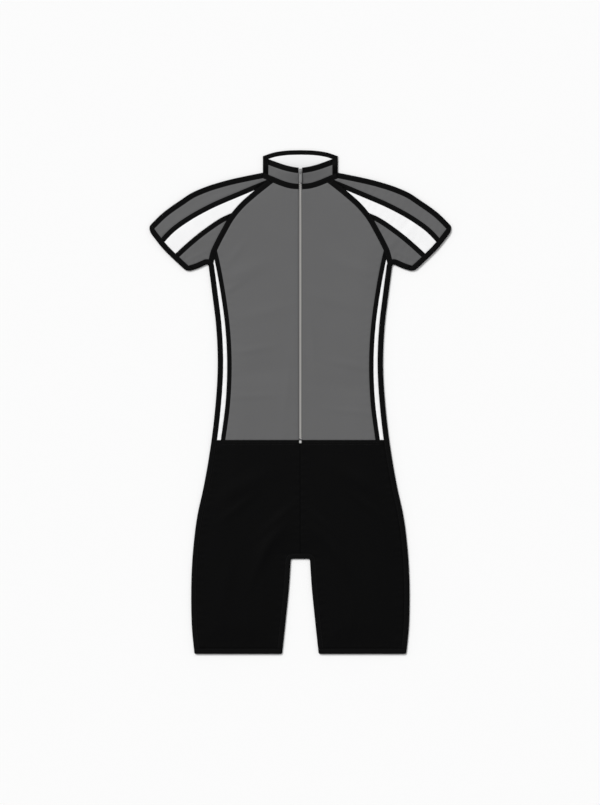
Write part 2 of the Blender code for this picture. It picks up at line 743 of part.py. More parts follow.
def add_front(p, collection):
    """Panels and flat tapes of the front, left and right, whose folds differ."""
    pieces = front_panels(p)
    for name, grid in front_tapes(p).items():
        pieces[name] = (BLACK_TAPE, grid.transpose(1, 0, 2))
    for name, (look, grid) in pieces.items():
        for ending, side in (("_left", 1), ("_right", -1)):
            height = front_height(grid * (side, 1), p.outline)
            cloth(name + ending, look, standing(grid, height), collection, side)


def add_back(p, collection):
    """Panels and flat tapes of the back, flat on the surface, and the white facing in the neck."""
    centre = upright(0.0)
    for name, (look, grid) in back_panels(p).items():
        for ending, side in (("_left", 1), ("_right", -1)):
            cloth(name + ending, look, standing(grid, 0.0), collection, side)

    right = np.vstack([
        between(p.side_in, p.body_end, p.raglan_in),
        between(p.raglan_in, p.side_in, p.back_neck_low)[1:],
    ])
    waist = np.array([right[0] * (-1, 1), right[0]])
    neck = whole(between(p.back_neck_low, centre, p.raglan_in))
    body = patch(waist, neck, right * (-1, 1), right, PANEL_CELLS["back_body"])
    cloth("back_body", GREY_KNIT, standing(body.transpose(1, 0, 2), 0.0), collection)

    rim = whole(between(p.back_rim_low, centre, p.collar_side_in))
    for name, look, low, face, wall in (
        ("collar_back", GREY_KNIT, p.back_neck_high, 0.0, WALL),
        ("collar_facing", WHITE_KNIT, level(FACING_LOW), FACING_UNDER, FACING_WALL),
    ):
        base = whole(between(low, centre, p.collar_side_in))
        edge = between(p.collar_side_in, low, p.back_rim_low)
        grid = patch(base, rim, edge * (-1, 1), edge, PANEL_CELLS[name])
        cloth(name, look, standing(grid.transpose(1, 0, 2), face), collection, wall=wall)

    neck_end, rim_end = COLLAR_HALF - GAP / 2, COLLAR_HALF - EDGE_HEIGHT / 2 - GAP
    neck_tape = seam_grid(whole(p.back_neck), TAPE, upright(-neck_end), upright(neck_end))
    cloth("neck_tape_back", BLACK_TAPE, standing(neck_tape, 0.0), collection)
    binding = strip(
        whole(p.back_rim), (-NARROW_TAPE, 0.0), [upright(-rim_end)] * 2, [upright(rim_end)] * 2,
    )
    binding_wall = FACING_UNDER + FACING_WALL
    cloth("collar_binding_back", BLACK_TAPE, standing(binding, 0.0), collection, wall=binding_wall)


def add_edges(p, collection):
    """Folded tapes along the side edges, and the rings at the cuffs and legs."""
    ends = upright(COLLAR_HALF + GAP / 2)
    folded = {
        "side_tape": (p.side, (p.leg_in, p.leg_in), (p.cuff_in, p.cuff_in)),
        "shoulder_tape": (p.shoulder, (p.cuff_in, p.cuff_in), (ends, ends)),
        "collar_side_tape": (
            p.collar_side,
            (p.back_neck_high, p.front_neck_high),
            (p.back_rim_low, extended(p.front_rim, SHORT_OVERRUN)),
        ),
    }
    side_edge, inseam_edge = (extended(edge, SHORT_OVERRUN) for edge in (p.side, p.inseam))
    rings = {
        "cuff_band": (p.cuff, side_edge, extended(p.shoulder), CUFF_CORNERS),
        "leg_band": (p.hem, inseam_edge, side_edge, LEG_CORNERS),
    }
    for ending, side in (("_left", 1), ("_right", -1)):
        for name, (path, starts, stops) in folded.items():
            points = folded_tape_points(path, starts, stops)
            cloth(name + ending, BLACK_TAPE, points, collection, side)
        for name, (path, start, stop, corners) in rings.items():
            points = band_ring_points(path, start, stop, corners)
            cloth(name + ending, BLACK_TAPE, points, collection, side, ring=True)
    left, right = level(HEM + TAPE + GAP, GAP), level(HEM + TAPE + GAP, -BEYOND_X, -GAP)
    inseam = folded_tape_points(whole(p.inseam), (right, right), (left, left))
    cloth("inseam_tape", BLACK_TAPE, inseam, collection)


def zip_rows(low, high):
    """Heights along the suit of the rows of a zip piece, closer together in the collar."""
    bend = FRONT_NECK_SEAM[0][2] - TAPE
    body = np.linspace(low, bend, ZIP_ROWS)
    collar = np.linspace(bend, high, max(2, round((high - bend) / ZIP_STEP)))
    return np.concatenate([body, collar[1:]])


def add_zip(p, collection, cutters):
    """Tapes under the front edges, chain between them, stop, slider and pull tab."""
    rows = zip_rows(ZIP_END, FRONT_RIM[0][2] - ZIP_BELOW_RIM)
    columns = np.array([ZIP_TAPE_INNER, ZIP_TAPE_OUTER])
    plan = np.stack(np.meshgrid(columns, rows, indexing="ij"), axis=-1)
    for ending, side in (("_left", 1), ("_right", -1)):
        height = front_height(plan * (side, 1), p.outline) - ZIP_TAPE_DROP
        cloth("zip_tape" + ending, ZIP_TAPE_LOOK, standing(plan, height), collection, side, ZIP_TAPE_WALL)

    rows = zip_rows(WAIST + GAP, SLIDER_Y - KEEL_SIZE[1] / 2 - GAP)
    plan = np.stack(np.meshgrid([-CHAIN_HALF, 0.0, CHAIN_HALF], rows, indexing="ij"), axis=-1)
    crown = np.array([0.0, CHAIN_RISE, 0.0])[:, None]
    height = front_height(plan, p.outline) + crown
    cloth("zip_chain", COIL_LOOK, standing(plan, height), collection, wall=CHAIN_WALL)

    seat = float(front_height(np.array([[0.0, STOP_Y]]), p.outline)[0])
    middle = (0.0, STOP_Y, seat + GAP + STOP_SIZE[2] / 2)
    rounded_box("zip_stop", COIL_LOOK, STOP_SIZE, middle, collection)
    add_slider(p, collection, cutters)


def add_slider(p, collection, cutters):
    """Slider at the top of the zip, in the plane of the collar there, and the tab in its bridge."""
    near = np.array([[0.0, SLIDER_Y - SPAN], [0.0, SLIDER_Y], [0.0, SLIDER_Y + SPAN]])
    below, here, above = (float(z) for z in front_height(near, p.outline))
    tilt = math.atan2(above - below, 2 * SPAN)
    seat = bpy.data.objects.new("slider_seat", None)
    seat.location, seat.rotation_euler = (0.0, SLIDER_Y, here), (tilt, 0.0, 0.0)
    cutters.objects.link(seat)

    top = PLATE_RISE + PLATE_SIZE[2]
    plate_middle = (0, 0, PLATE_RISE + PLATE_SIZE[2] / 2)
    slider = rounded_box("zip_slider", METAL, PLATE_SIZE, plate_middle, collection)
    foot = GAP - ZIP_TAPE_DROP
    keel_height = PLATE_RISE + PLATE_SIZE[2] / 2 - foot
    keel = cutter("keel", (*KEEL_SIZE, keel_height), (0, 0, foot + keel_height / 2), cutters)
    sunk = PLATE_SIZE[2] / 2
    bridge_size = (BRIDGE_SIZE[0], BRIDGE_SIZE[1], BRIDGE_SIZE[2] + sunk)
    bridge = cutter("bridge", bridge_size, (0, 0, top - sunk + bridge_size[2] / 2), cutters)
    hole = (2 * BRIDGE_SIZE[0], *BRIDGE_HOLE)
    eye = cutter("bridge_hole", hole, (0, 0, top + BRIDGE_HOLE[1] / 2), cutters)
    boolean(bridge, eye, "DIFFERENCE")
    boolean(slider, keel, "UNION")
    boolean(slider, bridge, "UNION")

    tab_middle = (0, TAB_BAR / 2 - TAB_SIZE[1] / 2, 0)
    tab = rounded_box("zip_pull_tab", METAL, TAB_SIZE, tab_middle, collection)
    window_middle = (0, -TAB_BAR / 2 - TAB_EYE[1] / 2, 0)
    window = cutter("tab_window", (*TAB_EYE, 2 * TAB_SIZE[2]), window_middle, cutters)
    boolean(tab, window, "DIFFERENCE")
    window.parent = tab
    tab.location = (0, 0, top + BRIDGE_HOLE[1] / 2)
    for piece in (slider, keel, bridge, eye, tab):
        piece.parent = seat


def remove_everything():
    """Empties the scene that the file opens with."""
    for existing in list(bpy.data.objects):
        bpy.data.objects.remove(existing, do_unlink=True)


def main():
    remove_everything()
    suit = bpy.data.collections.new("sports_suit")
    cutters = bpy.data.collections.new("cutters")
    for collection in (suit, cutters):
        bpy.context.scene.collection.children.link(collection)
    pattern = Pattern()
    add_front(pattern, suit)
    add_back(pattern, suit)
    add_edges(pattern, suit)
    add_zip(pattern, suit, cutters)


main()
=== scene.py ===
"""Looks of a one-piece sports suit laid flat: knit panels, tapes, stitching, zip, floor, light.

Metres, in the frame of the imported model: +X is the wearer's left, +Y the collar, +Z up, and the
suit lies on z = 0. Every panel is a thin sheet over its solid, tucked under the tapes beside it;
the tapes lie on the panels' edges and are stitched down. The left half's pattern is worked out in
plan from short tables, and the right half mirrors it with folds of its own.
"""

import math

import bpy
import numpy as np
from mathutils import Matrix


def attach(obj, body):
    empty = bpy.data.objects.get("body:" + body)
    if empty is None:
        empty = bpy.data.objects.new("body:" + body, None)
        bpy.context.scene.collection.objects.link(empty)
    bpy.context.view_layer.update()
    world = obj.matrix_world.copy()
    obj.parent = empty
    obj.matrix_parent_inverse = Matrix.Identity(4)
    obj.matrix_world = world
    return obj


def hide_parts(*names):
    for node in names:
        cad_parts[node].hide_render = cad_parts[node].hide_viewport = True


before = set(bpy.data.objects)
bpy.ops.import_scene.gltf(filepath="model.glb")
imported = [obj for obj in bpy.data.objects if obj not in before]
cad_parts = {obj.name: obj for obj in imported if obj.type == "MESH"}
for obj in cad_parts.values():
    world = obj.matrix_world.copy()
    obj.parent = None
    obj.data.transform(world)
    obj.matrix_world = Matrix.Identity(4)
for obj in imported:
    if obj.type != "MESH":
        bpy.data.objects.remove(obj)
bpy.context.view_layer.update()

# Sizes shared with the solids
TAPE = 0.011  # width of the seam tapes
SLEEVE_TAPE = 0.010  # beside the sleeve's stripe
NARROW_TAPE = 0.009  # beside the side stripe and on the back of the collar
EDGE_HEIGHT = 0.0044
LOFT = 0.0012  # how much higher the front stands away from the edges
LOFT_REACH = 0.050
COLLAR_LIFT = 0.006  # of the front collar, in the middle of its rim
LIFT_FROM = 0.436
LIFT_TO = 0.467
WAIST = -0.076
HEM = -0.504
CROTCH = -0.314
COLLAR_HALF = 0.075
ZIP_SLOT = 0.0033
ARMPIT_CUT = 0.006  # how far before and after a corner its rounding reaches
CROTCH_CUT = 0.004
CUFF_CORNERS = (0.008, 0.015)  # rounding of a ring's two corners along the edge
LEG_CORNERS = (0.003, 0.003)
CORNER_DEPTH = 0.0095  # and inward from it, at most
FACING_LOW = 0.4535
GAP = 0.0003  # between neighbours

# Cloth
CLOTH = 0.0007  # thickness of the knit sheets
TAPE_WALL = 0.0006
JOIN = 0.0001  # clearance where two tapes meet
SEAM_MEET = 0.0002  # how far two panels' edges run past each other in their seam's groove
UNDER = 0.0015  # how far a panel runs on under a tape
TUCK = 0.00045  # how far its edge lies below its face there
TUCK_RAMP = 0.0022  # distance over which it comes up beside the tape
TAPE_TOP = 0.0002  # a tape's face above the face of the panels
TAPE_EDGE = 0.0006  # distance over which a tape's edges round off
TAPE_EDGE_DROP = 0.00022
TAPE_EDGE_LINES = (0.0, 0.12, 0.35, 0.7, 1.0)  # lines next to a tape's edge, in TAPE_EDGE
BACK_REST = 0.00025  # the back panels' face above the surface that the tapes rest on
GRID = 0.0034  # spacing of a sheet's rows
EDGE_ROWS = (0.0, 0.0008, 0.0015, 0.0021, 0.0028, 0.0037, 0.0050)  # rows next to a sheet's edges
PUCKER = 0.00016  # height of the small waves beside a seam
PUCKER_PEAK = 0.004  # their distance from the tape
PUCKER_WAVE = 0.017
PUCKER_DRIFT = 1.7  # how unevenly they follow one another
PUCKER_DRIFT_WAVES = 3.7  # in how many of them that comes round again
PUCKER_DRIFT_START = 1.0
CREASE_FROM = 0.02  # share of the loft at which the small creases set in
CREASE_ONSET = 6  # how many times as fast as the loft they come in
OUTLINE_STEP = 3  # every third point of the outline is enough to measure from
EDGE_POINTS = 150  # and so are about this many of a sheet's edge

BINDING_RADIUS = 0.00098  # half the thickness of the front rim in its binding
BINDING_INNER_SHORT = 0.0012  # how much narrower the binding's inner flange is
BACK_BINDING_TOP = 0.0025  # height of the back collar's binding
FACING_TOP = 0.0023
FACING_WALL = 0.0004
BAND_STEPS = 41  # points along a band's ring, on each face
BEND_STEPS = 11  # points round the half round of a band or a binding
FOLD_STEPS = 13  # and of a side edge's tape
FLANGE_STEPS = 5  # lines on a binding's inner flange
CORNER_ROWS = (0.0, 0.04, 0.12, 0.25, 0.45, 0.7, 1.0)  # rows in a ring's corners, in their radius

# Stitching
STITCH_PITCH = 0.0030
STITCH_LENGTH = 0.0024
STITCH_WIDTH = 0.00052
STITCH_RISE = 0.00020
STITCH_INSET = 0.0017  # from a tape's edge to its row of stitches
STITCH_DIP = 0.00012  # how deep the row pulls the tape in
STITCH_DIP_REACH = 0.0006
STITCH_DIP_LINES = (-1.0, -0.4, 0.4, 1.0)  # lines at a row of stitches, in STITCH_DIP_REACH
STITCH_RINGS = ((-0.8, 0.75), (0.0, 1.0), (0.8, 0.75))  # places along a stitch, and its size there
STITCH_TIP = -0.5  # height of its two tips
ZIP_STITCH_IN = 0.0050  # from the front's edge to the row beside the zip
ZIP_STITCH_TOP = 0.4565
WAIST_ROWS = (0.0045, 0.0090)  # below the waist seam
WAIST_ROW_ENDS = (0.03, 0.93)  # shares of the way from the middle to the side
WAIST_ROW_POINTS = 60

# Outlines and seams of the left half. Columns: place, x, y
SIDE_EDGE = (
    ("hem", 0.2120, HEM),
    ("knee side", 0.2170, -0.452),
    ("widest", 0.2185, -0.396),
    ("thigh", 0.2175, -0.340),
    ("upper thigh", 0.2135, -0.284),
    ("seat", 0.2062, -0.228),
    ("hip", 0.1940, -0.172),
    ("below waist", 0.1832, -0.112),
    ("waist seam", 0.1718, -0.026),
    ("waist", 0.1654, 0.080),
    ("ribs", 0.1688, 0.154),
    ("chest", 0.1760, 0.214),
    ("armpit", 0.1842, 0.2765),
)
UNDERARM_EDGE = (
    ("armpit", 0.1842, 0.2765),
    ("under the arm", 0.2070, 0.2665),
    ("cuff corner", 0.2264, 0.2604),
)
CUFF_EDGE = (
    ("lower corner", 0.2264, 0.2604),
    ("lower bend", 0.2520, 0.284),
    ("middle", 0.2760, 0.308),
    ("upper bend", 0.2935, 0.330),
    ("upper corner", 0.3065, 0.3475),
)
SHOULDER_EDGE = (
    ("cuff corner", 0.3065, 0.3475),
    ("upper arm", 0.2750, 0.3785),
    ("arm", 0.2388, 0.4045),
    ("shoulder point", 0.2196, 0.4172),
    ("shoulder", 0.1936, 0.4289),
    ("top of shoulder", 0.1558, 0.4411),
    ("near neck", 0.1000, 0.4539),
    ("neck corner", COLLAR_HALF, 0.4588),
)
INSEAM_EDGE = (
    ("crotch corner", 0.0190, CROTCH),
    ("upper thigh", 0.0225, -0.368),
    ("thigh", 0.0280, -0.424),
    ("hem", 0.0365, HEM),
)
RAGLAN_SEAM = (
    ("under armpit", 0.1815, 0.2665),
    ("armpit", 0.1780, 0.2840),
    ("above armpit", 0.1738, 0.3000),
    ("lower curve", 0.1650, 0.3192),
    ("curve", 0.1525, 0.3427),
    ("upper curve", 0.1396, 0.3654),
    ("shoulder", 0.1200, 0.3902),
    ("upper shoulder", 0.0915, 0.4162),
    ("neck", 0.0617, 0.4400),
    ("past neck", 0.0440, 0.4535),
)
SIDE_STRIPE_SEAM = (
    ("below waist seam", 0.1565, -0.090),
    ("low waist", 0.1446, 0.004),
    ("waist", 0.1420, 0.080),
    ("ribs", 0.1461, 0.154),
    ("chest", 0.1541, 0.214),
    ("armpit", 0.1670, 0.284),
    ("past armpit", 0.1745, 0.316),
)
UPPER_SLEEVE_SEAM = (
    ("inside raglan", 0.0551, 0.4438),
    ("neck", 0.0751, 0.4358),
    ("shoulder", 0.1219, 0.4163),
    ("top of arm", 0.1820, 0.3900),
    ("arm", 0.2260, 0.3654),
    ("near cuff", 0.2575, 0.3423),
    ("cuff", 0.2776, 0.3209),
    ("past cuff", 0.2913, 0.3028),
)
LOWER_SLEEVE_SEAM = (
    ("inside raglan", 0.1245, 0.3776),
    ("raglan", 0.1473, 0.3686),
    ("arm", 0.1887, 0.3422),
    ("near cuff", 0.2186, 0.3183),
    ("cuff", 0.2459, 0.2936),
    ("past cuff", 0.2618, 0.2784),
)
FRONT_NECK_SEAM = (
    ("middle", 0.0000, 0.4306),
    ("beside zip", 0.0200, 0.4326),
    ("curve", 0.0400, 0.4387),
    ("neck side", 0.0540, 0.4446),
    ("corner", COLLAR_HALF, 0.4535),
)
BACK_NECK_SEAM = (
    ("middle", 0.0000, 0.4480),
    ("curve", 0.0400, 0.4492),
    ("corner", COLLAR_HALF, 0.4535),
)
FRONT_RIM = (
    ("middle", 0.0000, 0.4680),
    ("beside zip", 0.0120, 0.4696),
    ("curve", 0.0300, 0.4738),
    ("side", 0.0480, 0.4800),
    ("corner", COLLAR_HALF, 0.4905),
)
BACK_RIM = (
    ("middle", 0.0000, 0.5040),
    ("curve", 0.0300, 0.5028),
    ("side", 0.0540, 0.4990),
    ("corner", COLLAR_HALF, 0.4920),
)

# Soft folds: place, middle x, middle y, direction in degrees, half length, half width, height
FRONT_FOLDS = (
    ("left armpit drag", 0.125, 0.262, 158, 0.060, 0.014, 0.0011),
    ("right armpit drag", -0.122, 0.255, 24, 0.055, 0.014, 0.0011),
    ("left waist", 0.085, 0.030, 172, 0.070, 0.018, -0.0008),
    ("right waist", -0.080, 0.060, 6, 0.065, 0.018, -0.0008),
    ("left hip", 0.120, -0.160, 150, 0.060, 0.018, 0.0010),
    ("right hip", -0.118, -0.170, 28, 0.060, 0.018, 0.0010),
    ("left crotch drag", 0.055, -0.285, 128, 0.055, 0.014, 0.0012),
    ("right crotch drag", -0.058, -0.278, 54, 0.055, 0.014, 0.0012),
)
FRONT_CREASES = (
    ("left armpit, lower", 0.142, 0.232, 150, 0.034, 0.006, 0.0006),
    ("left armpit, upper", 0.128, 0.300, 128, 0.036, 0.007, 0.0005),
    ("right armpit, lower", -0.140, 0.226, 32, 0.036, 0.006, 0.0006),
    ("right armpit, upper", -0.130, 0.296, 50, 0.032, 0.007, 0.0005),
    ("left chest", 0.060, 0.205, 164, 0.060, 0.012, 0.0006),
    ("right chest", -0.070, 0.180, 14, 0.055, 0.012, 0.0006),
    ("left of zip", 0.024, 0.120, 96, 0.070, 0.008, 0.0005),
    ("right of zip", -0.026, 0.030, 84, 0.075, 0.008, 0.0005),
    ("left waist, upper", 0.095, 0.075, 168, 0.045, 0.007, 0.0006),
    ("left waist, lower", 0.100, -0.018, 176, 0.040, 0.006, 0.0005),
    ("right waist, upper", -0.098, 0.104, 10, 0.040, 0.007, 0.0006),
    ("right waist, lower", -0.096, 0.012, 2, 0.045, 0.006, 0.0005),
    ("left hip, lower", 0.130, -0.205, 140, 0.040, 0.008, 0.0007),
    ("right hip, lower", -0.126, -0.212, 38, 0.042, 0.008, 0.0007),
    ("left crotch, upper", 0.040, -0.238, 140, 0.045, 0.008, 0.0007),
    ("left crotch, side", 0.082, -0.318, 112, 0.045, 0.009, 0.0007),
    ("right crotch, upper", -0.044, -0.232, 42, 0.045, 0.008, 0.0007),
    ("right crotch, side", -0.080, -0.322, 66, 0.042, 0.009, 0.0007),
    ("left thigh", 0.150, -0.372, 102, 0.060, 0.012, 0.0006),
    ("right thigh", -0.148, -0.362, 80, 0.060, 0.012, 0.0006),
    ("left leg", 0.100, -0.440, 86, 0.040, 0.009, 0.0005),
    ("right leg", -0.104, -0.446, 96, 0.040, 0.009, 0.0005),
    ("left sleeve, by raglan", 0.190, 0.322, 44, 0.030, 0.007, 0.0006),
    ("left sleeve, middle", 0.222, 0.345, 58, 0.034, 0.008, 0.0006),
    ("left sleeve, under arm", 0.206, 0.292, 150, 0.024, 0.005, 0.0005),
    ("left sleeve, shoulder", 0.168, 0.408, 154, 0.040, 0.007, 0.0004),
    ("right sleeve, by raglan", -0.188, 0.318, 134, 0.030, 0.007, 0.0006),
    ("right sleeve, middle", -0.226, 0.340, 120, 0.034, 0.008, 0.0006),
    ("right sleeve, under arm", -0.208, 0.290, 32, 0.024, 0.005, 0.0005),
    ("right sleeve, shoulder", -0.160, 0.411, 24, 0.040, 0.007, 0.0004),
    ("left collar", 0.038, 0.456, 104, 0.012, 0.005, -0.0004),
    ("right collar", -0.034, 0.454, 80, 0.012, 0.005, -0.0004),
)
BACK_FOLDS = (  # these run into the suit, off the surface
    ("left armpit", 0.130, 0.255, 155, 0.055, 0.010, 0.0009),
    ("right armpit", -0.128, 0.262, 28, 0.055, 0.010, 0.0009),
    ("left shoulder blade", 0.070, 0.330, 120, 0.060, 0.012, 0.0007),
    ("right shoulder blade", -0.075, 0.322, 62, 0.060, 0.012, 0.0007),
    ("small of the back", 0.020, 0.060, 4, 0.090, 0.012, 0.0009),
    ("small of the back, upper", -0.030, 0.105, 174, 0.070, 0.009, 0.0007),
    ("small of the back, lower", -0.020, 0.010, 8, 0.075, 0.010, 0.0008),
    ("left hip", 0.115, -0.150, 150, 0.055, 0.011, 0.0008),
    ("right hip", -0.112, -0.158, 30, 0.055, 0.011, 0.0008),
    ("left seat", 0.060, -0.265, 128, 0.060, 0.011, 0.0009),
    ("right seat", -0.062, -0.258, 54, 0.060, 0.011, 0.0009),
    ("left thigh", 0.130, -0.370, 98, 0.060, 0.012, 0.0007),
    ("right thigh", -0.128, -0.362, 82, 0.060, 0.012, 0.0007),
    ("left sleeve", 0.215, 0.338, 56, 0.040, 0.009, 0.0007),
    ("right sleeve", -0.213, 0.344, 124, 0.040, 0.009, 0.0007),
)

# Knit
WALE = 0.0006
COURSE = 0.0005
KNIT_DEPTH = 0.00008
LOOP_SLANT = 1.2  # how steep a loop's legs are, in courses for each wale
LOOP_LOW = 0.5  # height of a wale between two loops, where it is 1 on them
WALE_ROUND = 0.6  # power that rounds the wales
WARP_SHARE = 0.6  # a tape's warp against its ribs, in spacing and in height

# Zip
ZIP_END = -0.0835
ZIP_TAPE_INNER = 0.0012
ZIP_TAPE_LINES = (0.0, 0.0002, 0.0005, 0.0009, 0.0014, 0.0030, 0.0052, 0.0076, 0.0078)  # outward
ZIP_TAPE_DROP = 0.0017
ZIP_TAPE_WALL = 0.0006
ZIP_BELOW_RIM = 0.0015
ZIP_CORD = 0.0005  # radius of the corded inner edge of a zip tape
ZIP_FIRST_TOOTH = 0.0030  # middle of the first tooth from the waist seam
TOOTH_PITCH = 0.0040  # between the teeth of one side
TOOTH_SIZE = (0.0033, 0.0021, 0.0015)  # across, along and in height
TOOTH_REACH = 0.0010  # middle of a tooth from the middle of the zip
TOOTH_ROUND = 0.45  # power of its form: 1 is an ellipsoid, and less is nearer to a box
CHAIN_TOP = 0.0002
STOP_SIZE = (0.0046, 0.0056, 0.0012)
STOP_Y = WAIST - 0.0036
STOP_ROUND = 0.35
SLIDER_Y = 0.4605
PLATE_SIZE = (0.0080, 0.0120, 0.0014)
PLATE_RISE = 0.0006
PLATE_ROUND = 0.3
PLATE_NARROW = 0.24  # how much of its width the slider loses towards its lower end
KEEL_SIZE = (0.0036, 0.0108)
KEEL_ROUND = 0.2
BRIDGE_SIZE = (0.0018, 0.0070, 0.0033)
BRIDGE_WALL = 0.0009
BRIDGE_HOLE = 0.0024
BRIDGE_BEND = 0.45  # power of its half ring
BRIDGE_ROUND = 0.5  # power of its section
TAB_SIZE = (0.0058, 0.0225, 0.0012)
TAB_BAR = 0.0012
TAB_EYE = (0.0030, 0.0039)
TAB_ROUND = 0.4
TAB_END_ROUND = 0.32
TAB_NARROW = 0.2  # how much of its width it loses towards its eye

# Light and camera
PHOTO_SIZE = (600, 805)
PIXEL = 0.002  # metres of the suit for each pixel of the photograph
SENSOR = 36.0
LENS = 150.0
SUN_STRENGTH = 2.2
SUN_SPREAD = 24
SUN_HEIGHT = 50
SUN_FROM = 128  # degrees round from +X, towards the upper left of the picture
SKY = 0.485
CAMERA_PLACE = (-0.0007, -0.001)
FLOOR = 30.0  # from the middle to each side
FLOOR_Z = -0.0003
FLOOR_COLOUR = (0.95, 0.95, 0.95)

# Curves
SPAN = 0.002  # spacing of a curve's points
OVERRUN = 0.020  # how far a curve is run on at its ends
SHORT_OVERRUN = 0.004
CORNER_STEPS = 10  # points on a rounded corner
BEYOND_X = 0.4  # distances that are past the suit's edge
BEYOND_Y = 0.6


# Curves in plan. A curve is an array of points; a station number counts along its points.


def lengths(curve):
    """Length along the curve at each of its points."""
    return np.concatenate([[0.0], np.cumsum(np.linalg.norm(np.diff(curve, axis=0), axis=1))])


def sampled(curve, along, places):
    """The curve's points at some places, where `along` gives those of its own points."""
    return np.column_stack([np.interp(places, along, column) for column in curve.T])


def at(curve, stations):
    """Points at those station numbers, between whole ones on the straight between two points."""
    return sampled(curve, np.arange(len(curve)), stations)


def placed(curve, parts):
    """Points at those parts, 0 to 1, of the curve's length."""
    along = lengths(curve)
    return sampled(curve, along, parts * along[-1])


def unit(vectors):
    """The vectors with a length of 1."""
    return vectors / np.linalg.norm(vectors, axis=-1, keepdims=True)


def left_of(vectors):
    """The vectors in plan turned to the left by a quarter turn."""
    return np.column_stack([-vectors[:, 1], vectors[:, 0]])


def half_turn(steps):
    """Angles from 0 to 180 degrees, both among them."""
    return np.linspace(0.0, math.pi, steps)


def full_turn(steps):
    """Angles round a full turn, without the one that comes back to the start."""
    return np.linspace(0.0, 2 * math.pi, steps, endpoint=False)


def smooth(table):
    """Fine curve through a table's points: cubic Hermite spans on the length of their chords."""
    points = np.array([row[1:] for row in table])
    along = lengths(points)
    tangents = np.gradient(points, along, axis=0)
    fine = np.linspace(0.0, along[-1], max(2, round(along[-1] / SPAN)))
    k = np.clip(np.searchsorted(along, fine, side="right") - 1, 0, len(along) - 2)
    span = (along[k + 1] - along[k])[:, None]
    t = (fine - along[k])[:, None] / span
    start = (1 + 2 * t) * (1 - t) ** 2 * points[k] + t * (1 - t) ** 2 * span * tangents[k]
    end = t**2 * (3 - 2 * t) * points[k + 1] - t**2 * (1 - t) * span * tangents[k + 1]
    return start + end


def rounded_join(first, second, cut):
    """Two curves that meet in a corner, with a parabola from `cut` before it to `cut` after it."""
    corner = first[-1]
    before = first[lengths(first) < lengths(first)[-1] - cut]
    after = second[lengths(second) > cut]
    t = np.linspace(0.0, 1.0, CORNER_STEPS + 2)[1:-1, None]
    arc = (1 - t) ** 2 * before[-1] + 2 * t * (1 - t) * corner + t**2 * after[0]
    return np.vstack([before, arc, after])


def beside(curve, distance):
    """The curve moved to its left by a distance, mitred at its points so that it stays parallel."""
    left = left_of(unit(np.diff(curve, axis=0)))
    before, after = np.vstack([left[:1], left]), np.vstack([left, left[-1:]])
    mitre = (before + after) / (1 + np.sum(before * after, axis=1))[:, None]
    return curve + distance * mitre


def extended(curve, length=OVERRUN):
    """The curve with a straight piece added at both ends."""
    head, tail = unit(curve[0] - curve[1]), unit(curve[-1] - curve[-2])
    return np.vstack([curve[0] + length * head, curve, curve[-1] + length * tail])


def cross(a, b):
    """Third component of the cross product of vectors in plan."""
    return a[..., 0] * b[..., 1] - a[..., 1] * b[..., 0]


def crossing(curve, other):
    """Station number at which the curve first meets the other one, or nan."""
    start, run = curve[:-1, None], np.diff(curve, axis=0)[:, None]
    other_start, other_run = other[None, :-1], np.diff(other, axis=0)[None]
    area = cross(run, other_run)
    area = np.where(area == 0, np.nan, area)
    t = cross(other_start - start, other_run) / area
    s = cross(other_start - start, run) / area
    inside = (t >= 0) & (t <= 1) & (s >= 0) & (s <= 1)
    if not inside.any():
        return math.nan
    station = np.where(inside, np.arange(len(curve) - 1)[:, None] + t, np.inf)
    return float(station.min())


def between(curve, start, end):
    """The part of a curve from one line across it to another."""
    first, last = crossing(curve, start), crossing(curve, end)
    low, high = sorted((first, last))
    inner = np.arange(math.floor(low) + 1, math.ceil(high))
    part = at(curve, [low, *inner, high])
    return part if first <= last else part[::-1]


def level(y, x_from=-SPAN, x_to=BEYOND_X):
    """Straight line across the suit at a height along it."""
    return np.array([[x_from, y], [x_to, y]])


def upright(x):
    """Straight line along the suit at a distance from its middle."""
    return np.array([[x, -BEYOND_Y], [x, BEYOND_Y]])


def nearest(values, place):
    """Number of the value that lies nearest to a place."""
    return int(np.argmin(np.abs(values - place)))


def mirrored(curve):
    """The curve on the suit's other half, run through the other way."""
    return curve[::-1] * (-1, 1)


def whole(half):
    """A curve from the middle outward, with its mirror image before it."""
    return np.vstack([mirrored(half), half[1:]])


# Grids in plan


def shares(length):
    """Places along a line, from 0 to 1: even steps, with close rows next to both ends."""
    near = np.array(EDGE_ROWS) / length
    if near[-1] >= 0.5:
        return np.linspace(0.0, 1.0, 2 * len(EDGE_ROWS))
    inner = np.linspace(near[-1], 1 - near[-1], max(3, round(length / GRID)))
    return np.concatenate([near[:-1], inner, 1 - near[-2::-1]])


def patch(bottom, top, left, right):
    """Grid between four edges, a Coons patch: both rulings added, less the bilinear one.

    Bottom and top run to the right, left and right run upward. Indexed right, then up.
    """
    u = shares(max(lengths(bottom)[-1], lengths(top)[-1]))
    v = shares(max(lengths(left)[-1], lengths(right)[-1]))
    bottom, top = placed(bottom, u)[:, None], placed(top, u)[:, None]
    left, right = placed(left, v)[None], placed(right, v)[None]
    u, v = u[:, None, None], v[None, :, None]
    low = (1 - u) * bottom[0] + u * bottom[-1]
    high = (1 - u) * top[0] + u * top[-1]
    return (1 - v) * (bottom - low) + v * (top - high) + (1 - u) * left + u * right


def bounded(bottom, top, left, right):
    """Grid between four lines that cross at its corners."""
    return patch(
        between(bottom, left, right), between(top, left, right),
        between(left, bottom, top), between(right, bottom, top),
    )


